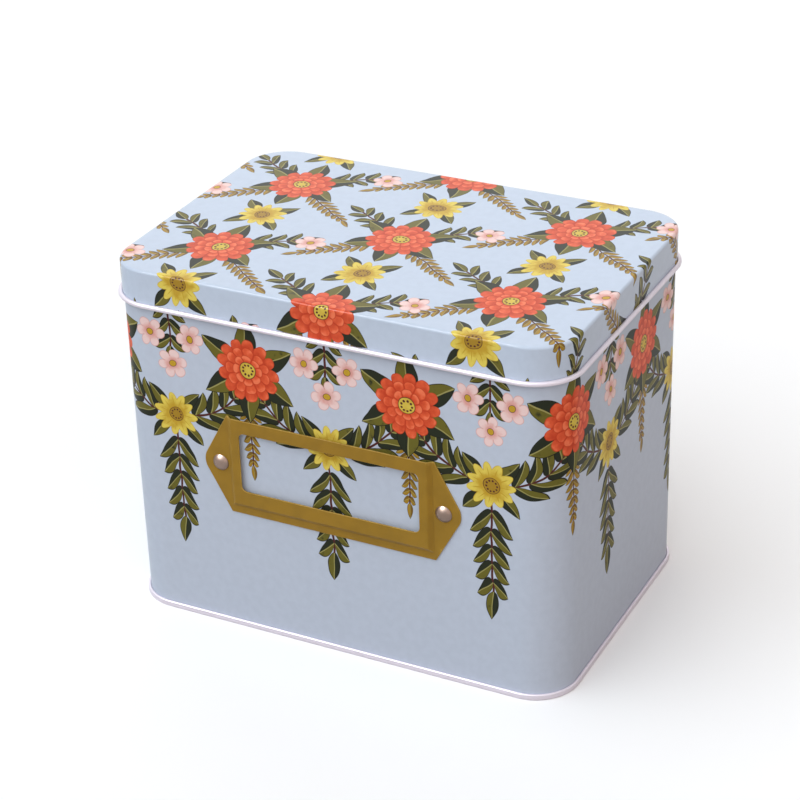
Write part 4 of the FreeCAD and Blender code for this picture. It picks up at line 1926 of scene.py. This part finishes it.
@dataclass
class LabelHolder(SubAssembly):
    """The label holder: a stamped frame, open at the top, on two domed rivets."""

    sheet: float = 0.5
    rise: float = 1.3
    middle: float = 63.0
    half_height: float = 18.0
    shoulder: float = 37.5
    tip_reach: float = 10.0
    tip_cut: float = 3.3
    panel_half_width: float = 37.15
    flange: float = 2.55
    step: float = 2.0
    step_cuts: int = 10
    step_margin: float = 0.15
    window_half_width: float = 32.5
    window_bottom: float = 54.5
    window_top: float = 76.2
    window_corner: float = 2.0
    corner_steps: int = 8
    stamped_edge: float = 0.14
    stamped_steps: int = 2
    stamped_degrees: float = 60.0
    smooth_degrees: float = 20.0
    rivet_crown: float = 1.7
    rivets: tuple[str, str] = ("label_rivet_left", "label_rivet_right")

    @property
    def tip(self) -> float:
        """Distance of the frame's tips from its middle."""
        return self.shoulder + self.tip_reach

    @property
    def foot(self) -> float:
        """Height at which the panel starts to rise."""
        return self.middle - self.half_height + self.flange

    def build(self) -> None:
        """Make the frame and its rivets."""
        self.build_frame()
        for node in self.rivets:
            Rivet(self.finishes.nickel, Slot.NICKEL, Facing.FRONT, self.rivet_crown).build(node)

    def build_frame(self) -> None:
        """Cut the flat blank, press its panel up, give it thickness and soften its edges."""
        bm = bmesh.new()
        y = -self.wall.half_depth - self.sheet
        bottom, top = self.middle - self.half_height, self.middle + self.half_height
        corners = (
            (self.tip, self.middle),
            (self.shoulder, top),
            (-self.shoulder, top),
            (-self.tip, self.middle),
            (-self.shoulder, bottom),
            (self.shoulder, bottom),
        )
        bmesh.ops.contextual_create(bm, geom=[bm.verts.new((x, y, z)) for x, z in corners])
        self.divide_blank(bm)
        self.cut_window(bm)
        self.press_panel(bm)
        made = bmesh.ops.extrude_face_region(bm, geom=list(bm.faces), use_keep_orig=True)["geom"]
        bmesh.ops.translate(bm, verts=verts_of(made), vec=(0, self.sheet, 0))
        bmesh.ops.recalc_face_normals(bm, faces=bm.faces)
        self.round_tips(bm)
        bevel(bm, sharp_edges(bm, self.stamped_degrees), self.stamped_edge, self.stamped_steps)
        piece = new_piece("label_holder", bm, [self.finishes.gold], self.smooth_degrees)
        settle(piece, Rider.BOX, Slot.GOLD, "label_frame")

    @staticmethod
    def divide(bm: BMesh, x: float | None = None, z: float | None = None) -> None:
        """Cut every face along an upright or a level line.

        Args:
            bm: The blank's mesh.
            x: Where an upright line runs.
            z: Where a level line runs.
        """
        bmesh.ops.bisect_plane(
            bm,
            geom=[*bm.verts, *bm.edges, *bm.faces],
            plane_co=(x or 0.0, 0.0, z or 0.0),
            plane_no=(1, 0, 0) if z is None else (0, 0, 1),
            dist=ON_LEVEL,
        )

    def divide_blank(self, bm: BMesh) -> None:
        """Cut the blank along the window and along the lines of the pressed step.

        Args:
            bm: The blank's mesh.
        """
        insets = [self.step * cut / self.step_cuts for cut in range(self.step_cuts + 1)]
        insets += [-self.step_margin, self.step + self.step_margin]
        corner = self.window_corner
        columns = [self.window_half_width, self.window_half_width - corner]
        columns += [self.panel_half_width - inset for inset in insets]
        window = (self.window_bottom, self.window_bottom + corner)
        window += (self.window_top - corner, self.window_top)
        for inset in insets:
            self.divide(bm, z=self.foot + inset)
        for x in columns:
            self.divide(bm, x=x)
            self.divide(bm, x=-x)
        for z in window:
            self.divide(bm, z=z)

    def cut_window(self, bm: BMesh) -> None:
        """Take the faces of the window away.

        Args:
            bm: The blank's mesh.
        """
        hole = [
            face for face in bm.faces
            if abs(face.calc_center_median().x) < self.window_half_width
            and self.window_bottom < face.calc_center_median().z < self.window_top
        ]
        bmesh.ops.delete(bm, geom=hole, context="FACES")
        for side in Side:
            self.fill_corner(bm, side, self.window_bottom, -1)
            self.fill_corner(bm, side, self.window_top, 1)

    def fill_corner(self, bm: BMesh, side: Side, z: float, up: int) -> None:
        """Round one corner of the window.

        Args:
            bm: The blank's mesh.
            side: The corner's side.
            z: Height of the corner.
            up: -1 at the foot of the window, 1 at its top.
        """
        sign, radius = side.value, self.window_corner
        centre_x, centre_z = self.window_half_width - radius, z - up * radius
        corner = self.vert_at(bm, sign * self.window_half_width, z)
        arc = [self.vert_at(bm, sign * centre_x, z)]
        for cut in range(1, self.corner_steps):
            turn = math.pi / 2 * cut / self.corner_steps
            x, height = centre_x + radius * math.sin(turn), centre_z + up * radius * math.cos(turn)
            arc.append(bm.verts.new((sign * x, corner.co.y, height)))
        arc.append(self.vert_at(bm, sign * self.window_half_width, centre_z))
        for one, other in zip(arc, arc[1:]):
            bmesh.ops.contextual_create(bm, geom=[corner, one, other])

    @staticmethod
    def vert_at(bm: BMesh, x: float, z: float) -> BMVert:
        """The vertex nearest to a place on the blank."""
        return min(bm.verts, key=lambda vert: math.hypot(vert.co.x - x, vert.co.z - z))

    def press_panel(self, bm: BMesh) -> None:
        """Press the panel away from the wall, with a soft step at its sides and its foot.

        Args:
            bm: The blank's mesh.
        """
        for vert in bm.verts:
            inset = min(self.panel_half_width - abs(vert.co.x), vert.co.z - self.foot)
            vert.co.y -= self.rise * smoothstep(max(0.0, min(1.0, inset / self.step)))

    def round_tips(self, bm: BMesh) -> None:
        """Round the two tips of the frame.

        Args:
            bm: The frame's mesh.
        """
        tips = [
            edge for edge in bm.edges
            if all(self.tip - abs(vert.co.x) < self.step_margin for vert in edge.verts)
        ]
        bevel(bm, tips, self.tip_cut, self.corner_steps)


@dataclass
class Rivet:
    """A rivet through the wall: a domed head outside, a shank, and a set tail inside."""

    finish: bpy.types.Material
    slot: Slot
    facing: Facing
    crown: float
    rim: float = 0.2
    shank_share: float = 0.48
    tail_share: float = 0.76
    tail_length: float = 0.6
    dome_steps: int = 9
    steps: int = 40

    def build(self, node: str) -> None:
        """Turn a rivet that stands for a CAD node.

        Args:
            node: The node's name.
        """
        low, high = ([part * MM_PER_METRE for part in corner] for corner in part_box(node))
        bm = bmesh.new()
        self.draw(bm, low, high)
        bmesh.ops.spin(
            bm,
            geom=[*bm.verts, *bm.edges],
            cent=((low[0] + high[0]) / 2, 0.0, (low[2] + high[2]) / 2),
            axis=(0, 1, 0),
            angle=2 * math.pi,
            steps=self.steps,
            use_merge=True,
        )
        weld(bm)
        piece = new_piece(f"{node}_turned", bm, [self.finish])
        settle(piece, Rider.BOX, self.slot, node)

    def draw(self, bm: BMesh, low: Sequence[float], high: Sequence[float]) -> None:
        """Draw the half section from the crown to the tail.

        Args:
            bm: The rivet's mesh.
            low: The lowest corner of the room that the rivet takes.
            high: The highest corner of it.
        """
        sign = self.facing.value
        outer, inner = (high[1], low[1]) if sign > 0 else (low[1], high[1])
        x, z = (low[0] + high[0]) / 2, (low[2] + high[2]) / 2
        head = (high[0] - low[0]) / 2
        rise = self.crown - self.rim
        dome = (head**2 + rise**2) / (2 * rise)
        made = bmesh.ops.spin(
            bm,
            geom=[bm.verts.new((x, outer, z))],
            cent=(x, outer - sign * dome, z),
            axis=(0, 0, 1),
            angle=-sign * math.asin(head / dome),
            steps=self.dome_steps,
        )
        tip = verts_of(made["geom_last"])[0]
        seat, collar = outer - sign * self.crown, inner + sign * self.tail_length
        shank, tail = head * self.shank_share, head * self.tail_share
        corners = (
            (head, seat),
            (shank, seat),
            (shank, collar),
            (tail, collar),
            (tail, inner),
            (0.0, inner),
        )
        for radius, y in corners:
            tip = bmesh.ops.extrude_vert_indiv(bm, verts=[tip])["verts"][0]
            tip.co = (x + radius, y, z)


@dataclass
class Hinge(SubAssembly):
    """The hinge: a wire in the lid's rear bead, bent straps on the back wall and their rivets."""

    open_angle: float = 105.0
    stop_gap: float = 0.1
    knee_margin: float = 0.25
    riser_drop: float = 1.3
    rivet_drop: float = 8.5
    foot_margin: float = 4.5
    foot_round: float = 1.6
    foot_steps: int = 6
    bend: float = 45.0
    bend_radius: float = 0.8
    bend_steps: int = 5
    shoulder_radius: float = 0.5
    hook_end: float = 260.0
    hook_steps: int = 18
    cut_edge: float = 0.1
    cut_steps: int = 2
    cut_degrees: float = 50.0
    rivet_crown: float = 0.7
    wire: str = "hinge_wire"
    straps: tuple[tuple[str, Side], ...] = (
        ("hinge_strap_left", Side.LEFT),
        ("hinge_strap_right", Side.RIGHT),
    )
    rivets: tuple[str, ...] = (
        "hinge_rivet_left_left",
        "hinge_rivet_left_right",
        "hinge_rivet_right_left",
        "hinge_rivet_right_right",
    )

    @property
    def foot(self) -> float:
        """Height of a strap's foot."""
        return self.sizes.bead[1] - self.rivet_drop - self.foot_margin

    def build(self) -> None:
        """Dress the wire, bend the straps and turn the rivets."""
        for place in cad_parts[self.wire].material_slots:
            place.link = "OBJECT"
            place.material = self.finishes.steel
        LOG.info("%s: dressed in %s", self.wire, self.finishes.steel.name)
        for node, side in self.straps:
            self.build_strap(node, side)
        for node in self.rivets:
            Rivet(self.finishes.steel, Slot.STEEL, Facing.BACK, self.rivet_crown).build(node)

    def build_strap(self, node: str, side: Side) -> None:
        """Bend a strap that stands for a CAD node.

        Args:
            node: The node's name.
            side: The strap's side.
        """
        bm = bmesh.new()
        half_width = self.sizes.strap_half_width
        RoundWall.draw_out(bm, self.draw_strap(bm), (2 * half_width, 0, 0))
        bmesh.ops.recalc_face_normals(bm, faces=bm.faces)
        foot = [vert for vert in bm.verts if vert.co.z < self.foot + WELD]
        bevel(bm, foot, self.foot_round, self.foot_steps, Rounded.CORNERS)
        self.thicken(bm)
        bevel(bm, sharp_edges(bm, self.cut_degrees), self.cut_edge, self.cut_steps)
        to_back = Matrix.Rotation(math.pi, 3, "Z")
        bmesh.ops.rotate(bm, verts=bm.verts, cent=(0, 0, 0), matrix=to_back)
        x = side.value * self.sizes.strap_place + half_width
        bmesh.ops.translate(bm, verts=bm.verts, vec=(x, 0, 0))
        piece = new_piece(f"{node}_bent", bm, [self.finishes.steel])
        settle(piece, Rider.BOX, Slot.STEEL, node)

    def draw_strap(self, bm: BMesh) -> list[BMEdge]:
        """Draw the middle line of a strap: up the wall, out to a riser, and round the wire.

        The shoulder slopes so that the lid's notch comes down on it when the lid is open.

        Args:
            bm: The strap's mesh.

        Returns:
            The edges of the line.
        """
        sizes, bend, steps = self.sizes, self.bend, self.bend_steps
        eye, middle = sizes.bead, sizes.strap_sheet / 2
        reach = math.hypot(sizes.eye_radius, sizes.notch_rise)
        corner = math.pi - math.atan2(sizes.notch_rise, sizes.eye_radius)
        corner -= math.radians(self.open_angle)
        slope = corner + math.acos((sizes.hook_radius + self.stop_gap) / reach)
        knee = reach * math.cos(corner) + self.knee_margin - middle
        riser = eye[0] + knee
        mitre = math.tan(math.radians(bend) / 2)
        upper = eye[1] - self.riser_drop + middle * mitre
        lower = upper - (riser - middle)
        wall_bend = (middle + self.bend_radius, lower - self.bend_radius * mitre)
        riser_bend = (riser - self.bend_radius, upper + self.bend_radius * mitre)
        hook = sizes.eye_radius + middle
        meeting = eye[1] + (hook - knee * math.cos(slope)) / math.sin(slope)
        shoulder = self.shoulder_radius
        shoulder_bend = (riser - shoulder, meeting - shoulder * math.tan(slope / 2))
        turned = math.degrees(slope)
        line = Section(bm, self.wall, middle, self.foot).line_to(middle, wall_bend[1])
        line.turn(*wall_bend, -bend, steps)
        line.line_to(*on_circle(riser_bend, self.bend_radius, -bend))
        line.turn(*riser_bend, bend, steps).line_to(riser, shoulder_bend[1])
        line.turn(*shoulder_bend, turned, steps).line_to(*on_circle(eye, hook, turned))
        return line.turn(*eye, self.hook_end - turned, self.hook_steps).edges

    def thicken(self, bm: BMesh) -> None:
        """Give a bent strip its thickness, half to each side of the line that it was drawn on.

        Args:
            bm: The strap's mesh.
        """
        sheet = self.sizes.strap_sheet
        bm.normal_update()
        for vert in bm.verts:
            vert.co += vert.normal * (sheet / 2)
        bmesh.ops.solidify(bm, geom=list(bm.faces), thickness=sheet)
        bmesh.ops.recalc_face_normals(bm, faces=bm.faces)


@dataclass(frozen=True)
class Lamp:
    """A broad lamp, far away."""

    name: str
    power: float
    tint: Place
    direction: Place
    angle: float
    gloss_only: bool = False

    def build(self) -> None:
        """Set the lamp on its side of the tin."""
        lamp = bpy.data.lights.new(self.name, "SUN")
        lamp.energy = self.power
        lamp.color = self.tint
        lamp.angle = math.radians(self.angle)
        holder = bpy.data.objects.new(self.name, lamp)
        holder.rotation_euler = Vector(self.direction).to_track_quat("Z", "Y").to_euler()
        holder.visible_diffuse = not self.gloss_only
        bpy.context.scene.collection.objects.link(holder)


@dataclass
class Studio:
    """The floor in millimetres, the light, and the camera, whose place is in metres."""

    camera_place: Place = (0.31413, -0.60919, 0.43676)
    azimuth: float = 27.43
    elevation: float = 28.28
    roll: float = -1.77
    focal_pixels: float = 2293.6
    image_pixels: float = 800.0
    sensor: float = 36.0
    floor_radius: float = 6000.0
    floor_segments: int = 96
    floor_shown: float = 0.96
    floor_bounce: float = 0.43
    ambient: float = 0.38
    ambient_tint: Place = (1.12, 1.0, 0.91)
    lamps: tuple[Lamp, ...] = (
        Lamp("key", 2.15, (0.9, 1.01, 1.1), (-0.27, -0.46, 0.84), 75.0),
        Lamp("fill", 0.38, (1.2, 0.98, 0.9), (0.7, -0.55, 0.46), 50.0),
        Lamp("back", 0.5, (1.0, 1.0, 1.0), (-0.41, 0.78, 0.47), 50.0),
        Lamp("strip", 5.0, (1.0, 1.0, 1.0), (-0.41, -0.47, 0.78), 25.0, gloss_only=True),
    )

    def build(self) -> None:
        """Set the floor, the lights, the world and the camera."""
        self.set_floor()
        self.set_world()
        for lamp in self.lamps:
            lamp.build()
        self.set_camera()
        bpy.context.scene.view_settings.view_transform = "Standard"

    @staticmethod
    def mix_seen(graph: Graph, lit: bpy.types.Node, shown: bpy.types.Node) -> Field:
        """Show one shader to the rays that look, and give another one to the light.

        Args:
            graph: The node graph.
            lit: The shader that light bounces from or comes from.
            shown: The shader that is seen from the camera, in gloss or through glass.

        Returns:
            The mixed shader.
        """
        path = graph.add("ShaderNodeLightPath")
        seen = graph.most(graph.take(path, "Is Camera Ray"), graph.take(path, "Is Glossy Ray"))
        seen = graph.most(seen, graph.take(path, "Is Transmission Ray"))
        feeds = {0: seen, 1: graph.take(lit), 2: graph.take(shown)}
        return graph.take(graph.add("ShaderNodeMixShader", feeds))

    def set_floor(self) -> None:
        """A pale floor that keeps the shadow and sends less light back than it shows."""
        bm = bmesh.new()
        bmesh.ops.create_circle(
            bm, cap_ends=True, radius=self.floor_radius, segments=self.floor_segments
        )
        floor = new_object("floor", bm)
        material = bpy.data.materials.new("Pale floor")
        material.use_nodes = True
        material.node_tree.nodes.clear()
        graph = Graph(material.node_tree)
        bounced = graph.add("ShaderNodeBsdfDiffuse", {"Color": grey(self.floor_bounce)})
        shown = graph.add("ShaderNodeBsdfDiffuse", {"Color": grey(self.floor_shown)})
        surface = self.mix_seen(graph, bounced, shown)
        graph.add("ShaderNodeOutputMaterial", {"Surface": surface})
        floor.data.materials.append(material)

    def set_world(self) -> None:
        """White where it is looked at, and soft light on the object."""
        world = bpy.data.worlds.new("studio")
        world.use_nodes = True
        world.node_tree.nodes.clear()
        graph = Graph(world.node_tree)
        feeds = {"Color": (*self.ambient_tint, 1.0), "Strength": self.ambient}
        soft = graph.add("ShaderNodeBackground", feeds)
        shown = graph.add("ShaderNodeBackground", {"Color": grey(1.0), "Strength": 1.0})
        surface = self.mix_seen(graph, soft, shown)
        graph.add("ShaderNodeOutputWorld", {"Surface": surface})
        bpy.context.scene.world = world

    def set_camera(self) -> None:
        """The camera, at the photograph's place, angle and lens."""
        lens = bpy.data.cameras.new("camera")
        lens.sensor_width = self.sensor
        lens.lens = self.focal_pixels * self.sensor / self.image_pixels
        turn, tilt, roll = map(math.radians, (self.azimuth, self.elevation, self.roll))
        level = Vector((math.cos(turn), math.sin(turn), 0.0))
        inward = Vector((math.sin(turn), -math.cos(turn), 0.0))
        back = inward * math.cos(tilt) + Vector((0.0, 0.0, math.sin(tilt)))
        upright = back.cross(level)
        right = level * math.cos(roll) + upright * math.sin(roll)
        up = upright * math.cos(roll) - level * math.sin(roll)
        axes = Matrix((right, up, back)).transposed().to_4x4()
        camera = bpy.data.objects.new("camera", lens)
        camera.matrix_world = Matrix.Translation(self.camera_place) @ axes
        bpy.context.scene.collection.objects.link(camera)
        bpy.context.scene.camera = camera


def main() -> None:
    """Build every piece in order."""
    logging.basicConfig(level=logging.INFO, format="%(name)s: %(message)s")
    wall = RoundWall()
    finishes = Finishes(wall.girth)
    shared = TinSizes()
    for kind in (Body, Lid, LabelHolder, Hinge):
        kind(finishes, wall, shared).build()
    Studio().build()


if __name__ == "__main__":
    main()
